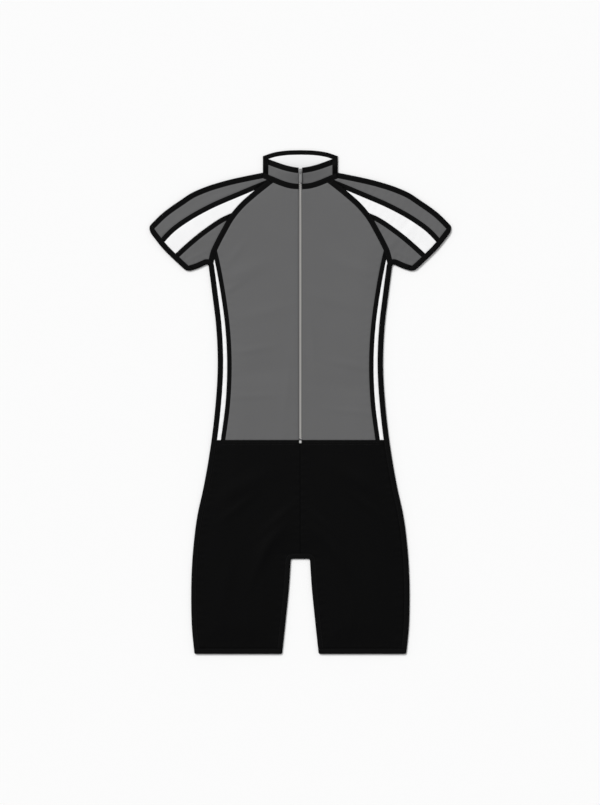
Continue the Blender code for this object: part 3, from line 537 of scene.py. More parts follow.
def strip(path, reaches, starts, ends):
    """Grid along a path: a line at each distance to its left, cut by lines across both of its ends.

    Starts and ends hold, for each of these lines, the cuts that it has to be clear of. Indexed
    across, then along.
    """
    lines = [extended(beside(path, reach)) for reach in reaches]
    first = [np.nanmax([crossing(line, cut) for cut in cuts]) for line, cuts in zip(lines, starts)]
    last = [np.nanmin([crossing(line, cut) for cut in cuts]) for line, cuts in zip(lines, ends)]
    inner = range(math.floor(max(first)) + 1, math.ceil(min(last)))
    return np.array([at(line, [a, *inner, b]) for line, a, b in zip(lines, first, last)])


def tape_reaches(low, high):
    """Lines across a tape: close ones at its two edges and at its two rows of stitches."""
    near = np.array(TAPE_EDGE_LINES) * TAPE_EDGE
    row = STITCH_INSET + np.array(STITCH_DIP_LINES) * STITCH_DIP_REACH
    half = np.concatenate([near, row[row > near[-1]]])
    return np.concatenate([low + half, [(low + high) / 2], high - half[::-1]])


def tape_relief(reaches, low, high, rows=(0, 1)):
    """Height of a tape's face over its level: rounded edges, and a dip at each row of stitches."""
    edge = np.minimum(reaches - low, high - reaches)
    height = -TAPE_EDGE_DROP * (1 - np.clip(edge / TAPE_EDGE, 0, 1)) ** 2
    for row in rows:
        middle = (low + STITCH_INSET, high - STITCH_INSET)[row]
        height = height - STITCH_DIP * np.exp(-(((reaches - middle) / STITCH_DIP_REACH) ** 2))
    return height


class Pattern:
    """Lines of the left half in plan, with those that the pieces end on.

    A piece ends `over` past a tape's edge: more than 0 keeps it clear, less puts it under the tape.
    """

    def __init__(self, over):
        side, underarm = smooth(SIDE_EDGE), smooth(UNDERARM_EDGE)
        crotch = smooth((("middle", 0.0, CROTCH), INSEAM_EDGE[0]))
        self.side = rounded_join(side, underarm, ARMPIT_CUT)
        self.inseam = rounded_join(crotch, smooth(INSEAM_EDGE), CROTCH_CUT)
        self.cuff = smooth(CUFF_EDGE)
        self.shoulder = smooth(SHOULDER_EDGE)
        self.hem = np.array([INSEAM_EDGE[-1][1:], SIDE_EDGE[0][1:]])
        self.raglan = smooth(RAGLAN_SEAM)
        self.side_stripe = smooth(SIDE_STRIPE_SEAM)
        self.upper_sleeve = smooth(UPPER_SLEEVE_SEAM)
        self.lower_sleeve = smooth(LOWER_SLEEVE_SEAM)
        self.front_neck = smooth(FRONT_NECK_SEAM)
        self.back_neck = smooth(BACK_NECK_SEAM)
        self.front_rim = smooth(FRONT_RIM)
        self.back_rim = smooth(BACK_RIM)
        self.collar_side = np.array([SHOULDER_EDGE[-1][1:], BACK_RIM[-1][1:]])

        clear = TAPE + over
        half = TAPE / 2 + over
        sleeve = SLEEVE_TAPE / 2 + over
        narrow = NARROW_TAPE / 2 + over
        self.side_in, self.inseam_in, self.cuff_in, self.shoulder_in, self.collar_side_in = (
            extended(beside(edge, clear))
            for edge in (self.side, self.inseam, self.cuff, self.shoulder, self.collar_side)
        )
        self.leg_in = level(HEM + clear)
        self.body_end = level(WAIST - SEAM_MEET)
        self.shorts_end = level(WAIST + SEAM_MEET)
        self.raglan_in = beside(self.raglan, half)
        self.raglan_out = beside(self.raglan, -half)
        self.stripe_in = beside(self.side_stripe, narrow)
        self.stripe_out = beside(self.side_stripe, -narrow)
        self.upper_high = beside(self.upper_sleeve, sleeve)
        self.upper_low = beside(self.upper_sleeve, -sleeve)
        self.lower_high = beside(self.lower_sleeve, sleeve)
        self.lower_low = beside(self.lower_sleeve, -sleeve)
        self.front_neck_low = extended(beside(self.front_neck, -half), SHORT_OVERRUN)
        self.front_neck_high = extended(beside(self.front_neck, half), SHORT_OVERRUN)
        self.back_neck_low = extended(beside(self.back_neck, -half), SHORT_OVERRUN)
        self.back_neck_high = extended(beside(self.back_neck, half), SHORT_OVERRUN)
        self.front_rim_low = extended(beside(self.front_rim, -clear), SHORT_OVERRUN)
        self.back_rim_low = extended(beside(self.back_rim, -NARROW_TAPE - over), SHORT_OVERRUN)
        self.zip_edge = upright(ZIP_SLOT)
        self.middle = upright(-SEAM_MEET)

        left = np.vstack([self.inseam, self.side, self.cuff, self.shoulder, self.back_rim[::-1]])
        around = np.vstack([left, mirrored(left)])[::OUTLINE_STEP]
        self.outline = np.vstack([around, around[:1]])

    def sleeve_top(self, neck):
        """The line over a sleeve: the neck seam's tape from the middle, then the shoulder's."""
        first = between(neck, upright(0.0), self.shoulder_in)
        second = between(self.shoulder_in, neck, self.cuff_in)
        return extended(np.vstack([first, second[1:]]), SHORT_OVERRUN)


# Heights


def distance_to(plan, line):
    """Distance from each point to the nearest part of a line."""
    start, run = line[:-1], np.diff(line, axis=0)
    square = np.sum(run * run, axis=1)
    start, run, square = start[square > 0], run[square > 0], square[square > 0]
    flat = plan.reshape(-1, 2)
    closest = np.full(len(flat), np.inf)
    for corner, side, size in zip(start, run, square):
        off = flat - corner
        t = np.clip((off @ side) / size, 0.0, 1.0)
        off -= t[:, None] * side
        np.minimum(closest, np.einsum("ij,ij->i", off, off), out=closest)
    return np.sqrt(closest).reshape(plan.shape[:-1])


def eased(t):
    """Rises smoothly from 0 to 1 with t."""
    t = np.clip(t, 0.0, 1.0)
    return t * t * (3 - 2 * t)


def folds(plan, table):
    """Sum of the table's folds: each is a bell across its line and along it."""
    x, y = plan[..., 0], plan[..., 1]
    rise = np.zeros(x.shape)
    for _, middle_x, middle_y, degrees, half_length, half_width, height in table:
        c, s = math.cos(math.radians(degrees)), math.sin(math.radians(degrees))
        along = ((x - middle_x) * c + (y - middle_y) * s) / half_length
        across = ((y - middle_y) * c - (x - middle_x) * s) / half_width
        rise += height * np.exp(-(along**2) - across**2)
    return rise


def front_height(plan, outline, side=1):
    """Height of the front's face: the solids' edge, loft, folds and collar lift, and creases."""
    plan = plan * (side, 1)
    x, y = plan[..., 0], plan[..., 1]
    away = eased((distance_to(plan, outline) - TAPE) / LOFT_REACH)
    height = EDGE_HEIGHT + away * (LOFT + folds(plan, FRONT_FOLDS))
    height += eased((away - CREASE_FROM) * CREASE_ONSET) * folds(plan, FRONT_CREASES)
    sideways = np.clip(1 - (x / (COLLAR_HALF - TAPE)) ** 2, 0.0, 1.0) ** 2
    return height + COLLAR_LIFT * eased((y - LIFT_FROM) / (LIFT_TO - LIFT_FROM)) * sideways


def back_height(plan, outline, side=1):
    """Height of the back's lower face: it rests on the surface, with its folds standing off it."""
    plan = plan * (side, 1)
    away = eased((distance_to(plan, outline) - TAPE) / (LOFT_REACH / 2))
    return BACK_REST + away * folds(plan, BACK_FOLDS)


def tucked(plan, free=""):
    """How far a panel lies below its face near its edges, and the small waves beside its seams.

    The sheet is low under a tape and comes up beside it. At a free edge, named by b, t, l or r for
    bottom, top, left or right, it only rolls over. Waves along the edge swell and die away from it.
    """
    drop, wave = np.zeros(plan.shape[:-1]), np.zeros(plan.shape[:-1])
    edges = {"b": plan[:, 0], "t": plan[:, -1], "l": plan[0], "r": plan[-1]}
    for letter, edge in edges.items():
        distance = distance_to(plan, edge[:: max(1, len(edge) // EDGE_POINTS)])
        over = distance - (0.0 if letter in free else UNDER)
        drop = np.maximum(drop, TUCK * (1 - eased(over / TUCK_RAMP)))
        along = (plan @ unit(edge[-1] - edge[0])) / PUCKER_WAVE * 2 * math.pi
        drift = PUCKER_DRIFT * np.sin(along / PUCKER_DRIFT_WAVES + PUCKER_DRIFT_START)
        t = np.clip(over, 0.0, None) / PUCKER_PEAK
        wave += PUCKER * np.sin(along + drift) * t * np.exp(1 - t)
    return drop, wave


# Materials


class Shader:
    """A material being built: its Principled shader and a short way to add nodes and links."""

    def __init__(self, name, colour, roughness, **sockets):
        self.made = bpy.data.materials.new(name)
        self.made.use_nodes = True
        self.tree = self.made.node_tree
        self.surface = self.tree.nodes["Principled BSDF"]
        self.set("Base Color", (*colour, 1.0))
        self.set("Roughness", roughness)
        for socket, value in sockets.items():
            self.set(socket.replace("_", " "), value)

    def set(self, socket, value):
        """Sets a socket of the shader to a value, or links a node's output to it."""
        if isinstance(value, bpy.types.NodeSocket):
            self.tree.links.new(value, self.surface.inputs[socket])
        else:
            self.surface.inputs[socket].default_value = value

    def node(self, kind, output, settings=None, **inputs):
        """Adds a node, fills or links its inputs by name, and returns one of its outputs."""
        made = self.tree.nodes.new("ShaderNode" + kind)
        for key, value in (settings or {}).items():
            setattr(made, key, value)
        for key, value in inputs.items():
            socket = made.inputs[int(key[1:]) if key[1:].isdigit() else key.replace("_", " ")]
            if isinstance(value, bpy.types.NodeSocket):
                self.tree.links.new(value, socket)
            else:
                socket.default_value = value
        return made.outputs[output]

    def math(self, operation, a, b=0.0):
        """One Math node."""
        return self.node("Math", 0, {"operation": operation}, i0=a, i1=b)

    def mottled(self, colour, spread, scale):
        """The colour, a little lighter and darker in soft patches."""
        patches = self.node("TexNoise", 0, Vector=self.place(), Scale=scale, Detail=3.0)
        dark, light = (tuple(c * f for c in colour) + (1.0,) for f in (1 - spread, 1 + spread))
        mixed = self.node("Mix", 2, {"data_type": "RGBA"}, Factor=patches, i6=dark, i7=light)
        self.set("Base Color", mixed)

    def place(self):
        """Object coordinates."""
        return self.node("TexCoord", "Object")

    def bump(self, height, depth):
        """Raises the surface by a height from 0 to 1, times a depth in metres."""
        self.set("Normal", self.node("Bump", 0, Height=height, Distance=depth, Strength=1.0))

    def uv(self):
        """The two coordinates, in metres, of the cloth's own plane."""
        split = self.tree.nodes.new("ShaderNodeSeparateXYZ")
        self.tree.links.new(self.node("UVMap", 0, {"uv_map": "cut"}), split.inputs[0])
        return split.outputs[0], split.outputs[1]


def knit(name, colour, sheen, specular=0.35, roughness=0.62):
    """Fine jersey: upright wales, each a row of loops whose two legs slant down to its middle."""
    shader = Shader(
        name, colour, roughness, Specular_IOR_Level=specular, Sheen_Weight=sheen,
        Sheen_Roughness=0.45,
    )
    across, along = shader.uv()
    wales = shader.math("FRACT", shader.math("DIVIDE", across, WALE))
    valley = shader.math("ABSOLUTE", shader.math("SUBTRACT", wales, 0.5))
    slant = shader.math(
        "ADD", shader.math("DIVIDE", along, COURSE), shader.math("MULTIPLY", valley, LOOP_SLANT),
    )
    loops = shader.math("ADD", shader.math("PINGPONG", slant, 0.5), LOOP_LOW)
    rib = shader.math("SUBTRACT", 1.0, shader.math("MULTIPLY", valley, 2.0))
    height = shader.math("MULTIPLY", shader.math("POWER", rib, WALE_ROUND), loops)
    shader.bump(height, KNIT_DEPTH)
    shader.mottled(colour, spread=0.035, scale=14.0)
    return shader.made


def woven(name, colour, specular, rib=0.0009, depth=0.00010, sheen=0.15):
    """Elastic tape: ribs across it, broken by the fine warp along it."""
    shader = Shader(
        name, colour, 0.6, Specular_IOR_Level=specular, Sheen_Weight=sheen, Sheen_Roughness=0.4,
    )
    across, along = shader.uv()
    ribs = shader.math("PINGPONG", shader.math("DIVIDE", along, rib), 0.5)
    warp = shader.math("PINGPONG", shader.math("DIVIDE", across, rib * WARP_SHARE), 0.5)
    shader.bump(shader.math("ADD", ribs, shader.math("MULTIPLY", warp, WARP_SHARE)), depth)
    shader.mottled(colour, spread=0.06, scale=60.0)
    return shader.made


def thread(name, colour, specular):
    """Twisted polyester thread, a little glossier than what it holds."""
    shader = Shader(name, colour, 0.42, Specular_IOR_Level=specular)
    diagonal = {"bands_direction": "DIAGONAL"}
    twist = shader.node("TexWave", 1, diagonal, Vector=shader.place(), Scale=900.0)
    shader.bump(twist, depth=0.00005)
    return shader.made


def moulded(name, colour, roughness=0.38):
    """Moulded plastic with faint unevenness."""
    shader = Shader(name, colour, roughness, Specular_IOR_Level=0.5)
    grain = shader.node("TexNoise", 0, Vector=shader.place(), Scale=900.0, Detail=2.0)
    shader.bump(grain, depth=0.00002)
    shader.mottled(colour, spread=0.05, scale=300.0)
    return shader.made


def lacquered(name, colour):
    """Lacquered zinc: fine orange peel under a coat."""
    shader = Shader(name, colour, 0.36, Metallic=0.55, Coat_Weight=0.35, Coat_Roughness=0.2)
    peel = shader.node("TexNoise", 0, Vector=shader.place(), Scale=1400.0, Detail=1.0)
    shader.bump(peel, depth=0.00001)
    shader.mottled(colour, spread=0.08, scale=260.0)
    return shader.made


CLOTHS = {  # by material slot
    "grey_knit": knit("grey knit", (0.105, 0.105, 0.1065), sheen=0.12),
    "white_knit": knit("white knit", (0.90, 0.90, 0.905), sheen=0.05),
    "black_knit": knit(
        "black knit", (0.0015, 0.0015, 0.0016), sheen=0.002, specular=0.045, roughness=0.5,
    ),
    "black_tape": woven("black tape", (0.0018, 0.0018, 0.0019), specular=0.05, sheen=0.003),
    "zip_tape": woven("zip tape", (0.11, 0.11, 0.112), specular=0.35, rib=0.0007, sheen=0.1),
}
BLACK_THREAD = thread("black thread", (0.004, 0.004, 0.004), specular=0.15)
GREY_THREAD = thread("grey thread", (0.10, 0.10, 0.102), specular=0.4)
LIGHT_PLASTIC = moulded("light grey plastic", (0.46, 0.448, 0.432))
STOP_PLASTIC = moulded("pale plastic", (0.50, 0.495, 0.485))
ZIP_METAL = lacquered("grey lacquer", (0.30, 0.30, 0.30))


# Pieces

UP, DOWN = (0.0, 0.0, 1.0), (0.0, 0.0, -1.0)
SIDES = (("_left", 1), ("_right", -1))
ONE_PIECE = (("", 1),)
stitched = {}  # stitches by the piece that they belong to: middle, ahead and up of each


def linked(name, data):
    """Object of that data, in the scene."""
    made = bpy.data.objects.new(name, data)
    bpy.context.scene.collection.objects.link(made)
    return made


def mesh_object(name, points, faces, material, uv=None):
    """Smooth-shaded object of points and faces, with the cloth's own coordinates if it has them."""
    mesh = bpy.data.meshes.new(name)
    mesh.from_pydata(points.reshape(-1, 3).tolist(), [], faces.tolist())
    mesh.shade_smooth()
    if uv is not None:
        corners = np.zeros(len(mesh.loops), dtype=int)
        mesh.loops.foreach_get("vertex_index", corners)
        mesh.uv_layers.new(name="cut").data.foreach_set("uv", uv.reshape(-1, 2)[corners].ravel())
    mesh.materials.append(material)
    return linked(name, mesh)


def grid_faces(rows, columns, around=False, closed=False):
    """Quads of a grid of points: first index crossed with the second one points out.

    Each row runs on into its start if the grid goes around, and the last row into the first one
    if it is closed.
    """
    i, j = (index.ravel() for index in np.meshgrid(
        np.arange(rows if closed else rows - 1), np.arange(columns if around else columns - 1),
        indexing="ij",
    ))
    here, above = i * columns, (i + 1) % rows * columns
    after = (j + 1) % columns
    return np.column_stack([here + j, above + j, above + after, here + after])


def suit_piece(made, node, body="suit"):
    """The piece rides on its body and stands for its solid."""
    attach(made, body)
    if node:
        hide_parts(node)
    return made


def sheet(node, suffix, points, uv, slot, side=1, wall=CLOTH, around=False):
    """Sheet of cloth or tape over a solid: its outer face on a grid, with a wall behind it."""
    faces = grid_faces(*points.shape[:2], around)
    if side < 0:
        faces = faces[:, ::-1]
    made = mesh_object(node + suffix, points * (side, 1, 1), faces, CLOTHS[slot], uv)
    solidify = made.modifiers.new("wall", "SOLIDIFY")
    solidify.thickness = wall
    solidify.offset = -1.0
    solidify.use_even_offset = True
    return suit_piece(made, node)


def tape_sheet(node, side, points, uv, turned=True, around=False):
    """Sheet of black tape on a strip's grid.

    Its face is the grid's upper side if the grid is turned, and its under side otherwise.
    """
    if turned:
        points, uv = points.transpose(1, 0, 2), uv.transpose(1, 0, 2)
    sheet(node, "_sewn", points, uv, "black_tape", side, TAPE_WALL, around)


def tape_uv(across, line):
    """Coordinates in a tape's own plane: distances across it, and lengths along one line."""
    return np.stack(np.broadcast_arrays(across[:, None], lengths(line)[None]), axis=-1)


def standing(plan, height):
    """The grid's points with a height, which may be one number."""
    return np.concatenate([plan, np.broadcast_to(height, plan.shape[:-1])[..., None]], axis=-1)


def grain(plan, degrees):
    """The plan's coordinates in the cloth's own plane, turned so that its wales run that way."""
    c, s = math.cos(math.radians(degrees)), math.sin(math.radians(degrees))
    x, y = plan[..., 0], plan[..., 1]
    return np.stack([x * c + y * s, y * c - x * s], axis=-1)


def stitch_row(group, points, up=UP, side=1):
    """Adds a row of stitches along points on a surface, whose way out is given."""
    points = points * (side, 1, 1)
    along = lengths(points)
    count = int(along[-1] / STITCH_PITCH)
    if count < 1:
        return
    middles = (np.arange(count) + 0.5) * along[-1] / count
    first = sampled(points, along, middles - STITCH_LENGTH / 2)
    last = sampled(points, along, middles + STITCH_LENGTH / 2)
    ahead = (last - first) / STITCH_LENGTH
    out = np.broadcast_to(up, ahead.shape)
    stitched.setdefault(group, []).append(np.stack([(first + last) / 2, ahead, out], axis=1))


def stitch_form():
    """One stitch of unit half length, half width and height: rings of six points between tips."""
    turn = np.radians(np.arange(0, 360, 60))
    rings = [
        np.column_stack([np.full(len(turn), place), size * np.cos(turn), size * np.sin(turn)])
        for place, size in STITCH_RINGS
    ]
    return capped_rings(np.array(rings), (-1.0, 0.0, STITCH_TIP), (1.0, 0.0, STITCH_TIP))


def copied(triangles, size, count):
    """Triangles of several copies of a form of that many points."""
    return (triangles[None] + size * np.arange(count)[:, None, None]).reshape(-1, 3)


def add_stitching():
    """One piece for each group of stitch rows."""
    form, triangles = stitch_form()
    for group, rows in stitched.items():
        middle, ahead, up = np.vstack(rows).transpose(1, 0, 2)
        across = np.cross(up, ahead)
        rise = np.cross(ahead, across) * STITCH_RISE
        axes = (ahead * STITCH_LENGTH / 2, across * STITCH_WIDTH / 2, rise)
        points = middle[:, None] + sum(form[None, :, k, None] * axes[k][:, None] for k in range(3))
        faces = copied(triangles, len(form), len(middle))
        grey = group == "stitching_zip"
        made = mesh_object(group, points, faces, GREY_THREAD if grey else BLACK_THREAD)
        suit_piece(made, None)


# Front


def front_panels(p):
    """The left half's front panels: name, slot, grain, free edges and grid in plan."""
    zip_edge, neck, waist = p.zip_edge, p.front_neck_low, p.body_end
    raglan_in, raglan_out, cuff = p.raglan_in, p.raglan_out, p.cuff_in
    body_side = np.vstack([
        between(p.stripe_in, waist, raglan_in),
        between(raglan_in, p.stripe_in, neck)[1:],
    ])
    body = patch(
        between(waist, zip_edge, p.stripe_in), between(neck, zip_edge, raglan_in),
        between(zip_edge, waist, neck), body_side,
    )
    side_stripe = bounded(waist, raglan_in, p.stripe_out, p.side_in)
    upper = bounded(p.upper_high, p.shoulder_in, neck, cuff)
    stripe = bounded(p.lower_high, p.upper_low, raglan_out, cuff)
    lower = bounded(p.side_in, p.lower_low, raglan_out, cuff)
    collar = bounded(p.front_neck_high, p.front_rim_low, zip_edge, p.collar_side_in)
    return (
        ("front_body", "grey_knit", 0, "lb", body),
        ("side_stripe", "white_knit", -3, "b", side_stripe),
        ("sleeve_upper", "grey_knit", 60, "", upper),
        ("sleeve_stripe", "white_knit", 56, "", stripe),
        ("sleeve_lower", "grey_knit", 56, "", lower),
        ("collar_front", "grey_knit", 0, "l", collar),
        ("shorts_front", "black_knit", 0, "lt", shorts_grid(p)),
    )


def shorts_grid(p):
    """Grid in plan of the left half of the shorts, from the middle seam to the side tape."""
    inner = np.vstack([
        between(p.inseam_in, p.leg_in, p.middle),
        between(p.middle, p.inseam_in, p.shorts_end)[1:],
    ])
    return patch(
        between(p.leg_in, p.inseam_in, p.side_in), between(p.shorts_end, p.middle, p.side_in),
        inner, between(p.side_in, p.leg_in, p.shorts_end),
    )


def add_front_panels(p):
    """The front's sheets, left and right, tucked under the tapes."""
    for name, slot, degrees, free, plan in front_panels(p):
        drop, wave = tucked(plan, free)
        for ending, side in SIDES:
            height = front_height(plan, p.outline, side) - drop + wave * side
            points, uv = standing(plan, height), grain(plan, degrees)
            made = sheet(name + ending, "_cloth", points, uv, slot, side)


def flat_tape(name, path, width, starts, ends, outline, over=None, back=False, sides=SIDES):
    """Tape of a width over a seam, with two rows of stitches.

    Starts and ends are the cuts at its two ends, and `over` those at the start of its left half
    where they differ. Its face stands TAPE_TOP over the panels of the front, or rests on the
    surface.
    """
    low, high = -width / 2, width / 2
    reaches = tape_reaches(low, high)
    cuts = [over if over and reach > 0 else starts for reach in reaches]
    plan = strip(path, reaches, cuts, [ends] * len(reaches))
    relief = tape_relief(reaches, low, high)[:, None]
    uv = tape_uv(reaches, plan[len(plan) // 2])
    group, up = ("stitching_back", DOWN) if back else ("stitching_front", UP)
    for ending, side in sides:
        height = -relief if back else front_height(plan, outline, side) + TAPE_TOP + relief
        points = standing(plan, height)
        for place in (low + STITCH_INSET, high - STITCH_INSET):
            stitch_row(group, points[nearest(reaches, place)], up, side)
        tape_sheet(name + ending, side, points, uv, turned=not back)


def add_front_tapes(p):
    """The flat tapes of the front, left and right."""
    side = upright(COLLAR_HALF - JOIN)
    top = p.sleeve_top(p.front_neck_low)
    corner = [p.raglan_out, p.front_neck_low]
    for name, path, width, start, end, over in (
        ("raglan_tape_front", p.raglan, TAPE, p.side_in, top, None),
        ("side_stripe_tape", p.side_stripe, NARROW_TAPE, p.body_end, p.raglan_in, None),
        ("sleeve_tape_upper", p.upper_sleeve, SLEEVE_TAPE, p.raglan_out, p.cuff_in, corner),
        ("sleeve_tape_lower", p.lower_sleeve, SLEEVE_TAPE, p.raglan_out, p.cuff_in, None),
        ("neck_tape_front", p.front_neck, TAPE, p.zip_edge, side, None),
    ):
        flat_tape(name, path, width, [start], [end], p.outline, over)


def binding_section(low, radius, inner):
    """Section of a tape folded over a rim: an outer flange, a half round and an inner flange.

    Returns, for each line of the tape, its distance from the rim, how far below the outer face's
    level it lies, and its length round the section.
    """
    outer = tape_reaches(low, -low)
    outer = outer[outer < -radius]
    turn = half_turn(BEND_STEPS)
    flange = np.linspace(-radius, inner, FLANGE_STEPS + 1)[1:]
    reach = np.concatenate([outer, radius * (np.sin(turn) - 1), flange])
    below = np.concatenate([0 * outer, radius * (1 - np.cos(turn)), 0 * flange + 2 * radius])
    below[: len(outer)] -= tape_relief(outer, low, -low, rows=(0,))
    return reach, below, lengths(np.column_stack([reach, below]))


def add_collar_bindings(p):
    """Bindings over the front rim, on either side of the zip, and over the back rim."""
    reach, below, section = binding_section(-TAPE, BINDING_RADIUS, -TAPE + BINDING_INNER_SHORT)
    plan = strip(p.front_rim, reach, [[p.zip_edge]] * len(reach), [[p.collar_side_in]] * len(reach))
    row = nearest(reach[: len(reach) // 2], STITCH_INSET - TAPE)
    uv = tape_uv(section, plan[0])
    for ending, side in SIDES:
        height = front_height(plan, p.outline, side) + TAPE_TOP - below[:, None]
        points = standing(plan, height)
        stitch_row("stitching_collar", points[row], side=side)
        tape_sheet("collar_binding_front" + ending, side, points, uv)

    reach, above, section = binding_section(-NARROW_TAPE, BACK_BINDING_TOP / 2, -NARROW_TAPE)
    tape, edge = COLLAR_HALF - EDGE_HEIGHT / 2 - JOIN, COLLAR_HALF
    over_tape = between(extended(p.front_rim), upright(tape), upright(edge)) + (0.0, JOIN)
    end = np.vstack([(tape, 0.0), over_tape, (edge, BEYOND_Y)])
    plan = strip(whole(p.back_rim), reach, [[end * (-1, 1)]] * len(reach), [[end]] * len(reach))
    points = standing(plan, above[:, None])
    tape_sheet("collar_binding_back", 1, points, tape_uv(section, plan[0]), turned=False)
    half = len(reach) // 2
    inside = half + nearest(reach[half:], STITCH_INSET - NARROW_TAPE)
    stitch_row("stitching_collar", points[inside])


# Back


def add_back_panels(p):
    """The back's sheets, with their faces down on the surface, and the facing inside the collar."""
    sleeve = bounded(p.side_in, p.sleeve_top(p.back_neck_low), p.raglan_out, p.cuff_in)
    right = np.vstack([
        between(p.side_in, p.body_end, p.raglan_in),
        between(p.raglan_in, p.side_in, p.back_neck_low)[1:],
    ])
    waist = np.array([right[0] * (-1, 1), right[0]])
    centre = upright(0.0)
    neck = whole(between(p.back_neck_low, centre, p.raglan_in))
    body = patch(waist, neck, right * (-1, 1), right)
    rim = whole(between(p.back_rim_low, centre, p.collar_side_in))
    grids = []
    for low in (p.back_neck_high, level(FACING_LOW)):
        end = between(p.collar_side_in, low, p.back_rim_low)
        grids.append(patch(whole(between(low, centre, p.collar_side_in)), rim, end * (-1, 1), end))
    collar, facing = grids
    for name, slot, degrees, free, plan, sides in (
        ("sleeve_back", "grey_knit", 58, "", sleeve, SIDES),
        ("shorts_back", "black_knit", 0, "lt", shorts_grid(p), SIDES),
        ("back_body", "grey_knit", 0, "b", body, ONE_PIECE),
        ("collar_back", "grey_knit", 0, "", collar, ONE_PIECE),
    ):
        drop, wave = tucked(plan, free)
        for ending, side in sides:
            height = back_height(plan, p.outline, side) + drop + np.clip(wave * side, 0.0, None)
            points = standing(plan, height).transpose(1, 0, 2)
            uv = grain(plan, degrees).transpose(1, 0, 2)
            made = sheet(name + ending, "_cloth", points, uv, slot, side)

    drop, _ = tucked(facing, "b")
    points = standing(facing, FACING_TOP - drop)
    uv = grain(facing, 0)
    made = sheet("collar_facing", "_cloth", points, uv, "white_knit", wall=FACING_WALL)


def add_back_tapes(p):
    """The flat tapes of the back: raglan seams and neck seam."""
    top, end = p.sleeve_top(p.back_neck_low), COLLAR_HALF - JOIN
    flat_tape("raglan_tape_back", p.raglan, TAPE, [p.side_in], [top], p.outline, back=True)
    flat_tape(
        "neck_tape_back", whole(p.back_neck), TAPE, [upright(-end)], [upright(end)], p.outline,
        back=True, sides=ONE_PIECE,
    )


# Edges


def folded_tape(name, path, starts, ends, sides=SIDES):
    """Tape folded over a side edge: two stitched flanges and a half round between them.

    The path runs along the edge with the cloth on its left. Starts and ends each hold the cut of
    the under flange and that of the upper one.
    """
    radius = (EDGE_HEIGHT + TAPE_TOP) / 2
    flange = tape_reaches(-TAPE, TAPE)
    flange = flange[flange > radius][::-1]
    turn = half_turn(FOLD_STEPS)
    relief = tape_relief(flange, -TAPE, TAPE, rows=(1,))
    reach = np.concatenate([flange, radius * (1 - np.sin(turn)), flange[::-1]])
    height = np.concatenate([-relief, radius * (1 - np.cos(turn)), 2 * radius + relief[::-1]])
    upper = (height > radius / 2).astype(int)
    plan = strip(path, reach, [[starts[k]] for k in upper], [[ends[k]] for k in upper])
    points = standing(plan, height[:, None])
    uv = tape_uv(lengths(np.column_stack([reach, height])), plan[len(plan) // 2])
    row = nearest(flange, TAPE - STITCH_INSET)
    for ending, side in sides:
        stitch_row("stitching_edges", points[row], DOWN, side)
        stitch_row("stitching_edges", points[len(points) - 1 - row], UP, side)
        tape_sheet(name + ending, side, points, uv)


def corner_inset(reach, corner):
    """How far a ring's line ends inside the side edge, on a quarter of an ellipse."""
    deep = min(corner, CORNER_DEPTH)
    return corner * (1 - math.sqrt(1 - max(1 - reach / deep, 0.0) ** 2))


def band_ring(name, path, start, end, corners):
    """Flattened ring of tape stitched round an open edge, with its corners rounded in plan.

    Row by row inward from the edge, each line between the two side edges is gone round once: along
    the surface, up the half round at its end, back along the top and down again.
    """
    radius = (EDGE_HEIGHT + TAPE_TOP) / 2
    turn = half_turn(BEND_STEPS)[1:-1]
    across = np.linspace(0.0, 1.0, BAND_STEPS)
    reaches = np.unique(np.round(np.concatenate([
        tape_reaches(0.0, TAPE), min(max(corners), CORNER_DEPTH) * np.array(CORNER_ROWS),
    ]), 6))
    relief = tape_relief(reaches, 0.0, TAPE, rows=(1,))
    rows = []
    for reach, low_by in zip(reaches, -relief):
        line = between(extended(beside(path, reach)), start, end)
        along = lengths(line)
        low = corner_inset(reach, corners[0]) + radius
        high = along[-1] - corner_inset(reach, corners[1]) - radius
        bulge, rise = (radius - low_by) * np.sin(turn), (radius - low_by) * (1 - np.cos(turn))
        run = np.concatenate([
            low + (high - low) * across, high + bulge, high - (high - low) * across, low - bulge,
        ])
        height = np.concatenate([0 * across, rise, 0 * across + 2 * (radius - low_by), rise[::-1]])
        rows.append(standing(sampled(line, along, run), height + low_by))
    points = np.array(rows)
    uv = tape_uv(reaches, points[-1])
    row = points[nearest(reaches, TAPE - STITCH_INSET)]
    top = slice(BAND_STEPS + len(turn), 2 * BAND_STEPS + len(turn))
    for ending, side in SIDES:
        stitch_row("stitching_bands", row[:BAND_STEPS], DOWN, side)
        stitch_row("stitching_bands", row[top], UP, side)
        tape_sheet(name + ending, side, points, uv, turned=False, around=True)


def add_edges(p):
    """Folded tapes along the side edges, and the rings at the cuffs and legs."""
    neck_end = upright(COLLAR_HALF + JOIN)
    folded_tape("side_tape", p.side, (p.leg_in, p.leg_in), (p.cuff_in, p.cuff_in))
    folded_tape("shoulder_tape", p.shoulder, (p.cuff_in, p.cuff_in), (neck_end, neck_end))
    folded_tape(
        "collar_side_tape", p.collar_side, (p.back_neck_high, p.front_neck_high),
        (p.back_rim_low, extended(p.front_rim, SHORT_OVERRUN)),
    )
    left, right = level(p.leg_in[0, 1], JOIN), level(p.leg_in[0, 1], -BEYOND_X, -JOIN)
    folded_tape("inseam_tape", whole(p.inseam), (right, right), (left, left), ONE_PIECE)
    side_edge, inseam_edge = (extended(edge, SHORT_OVERRUN) for edge in (p.side, p.inseam))
    band_ring("cuff_band", p.cuff, side_edge, extended(p.shoulder), CUFF_CORNERS)
    band_ring("leg_band", p.hem, inseam_edge, side_edge, LEG_CORNERS)


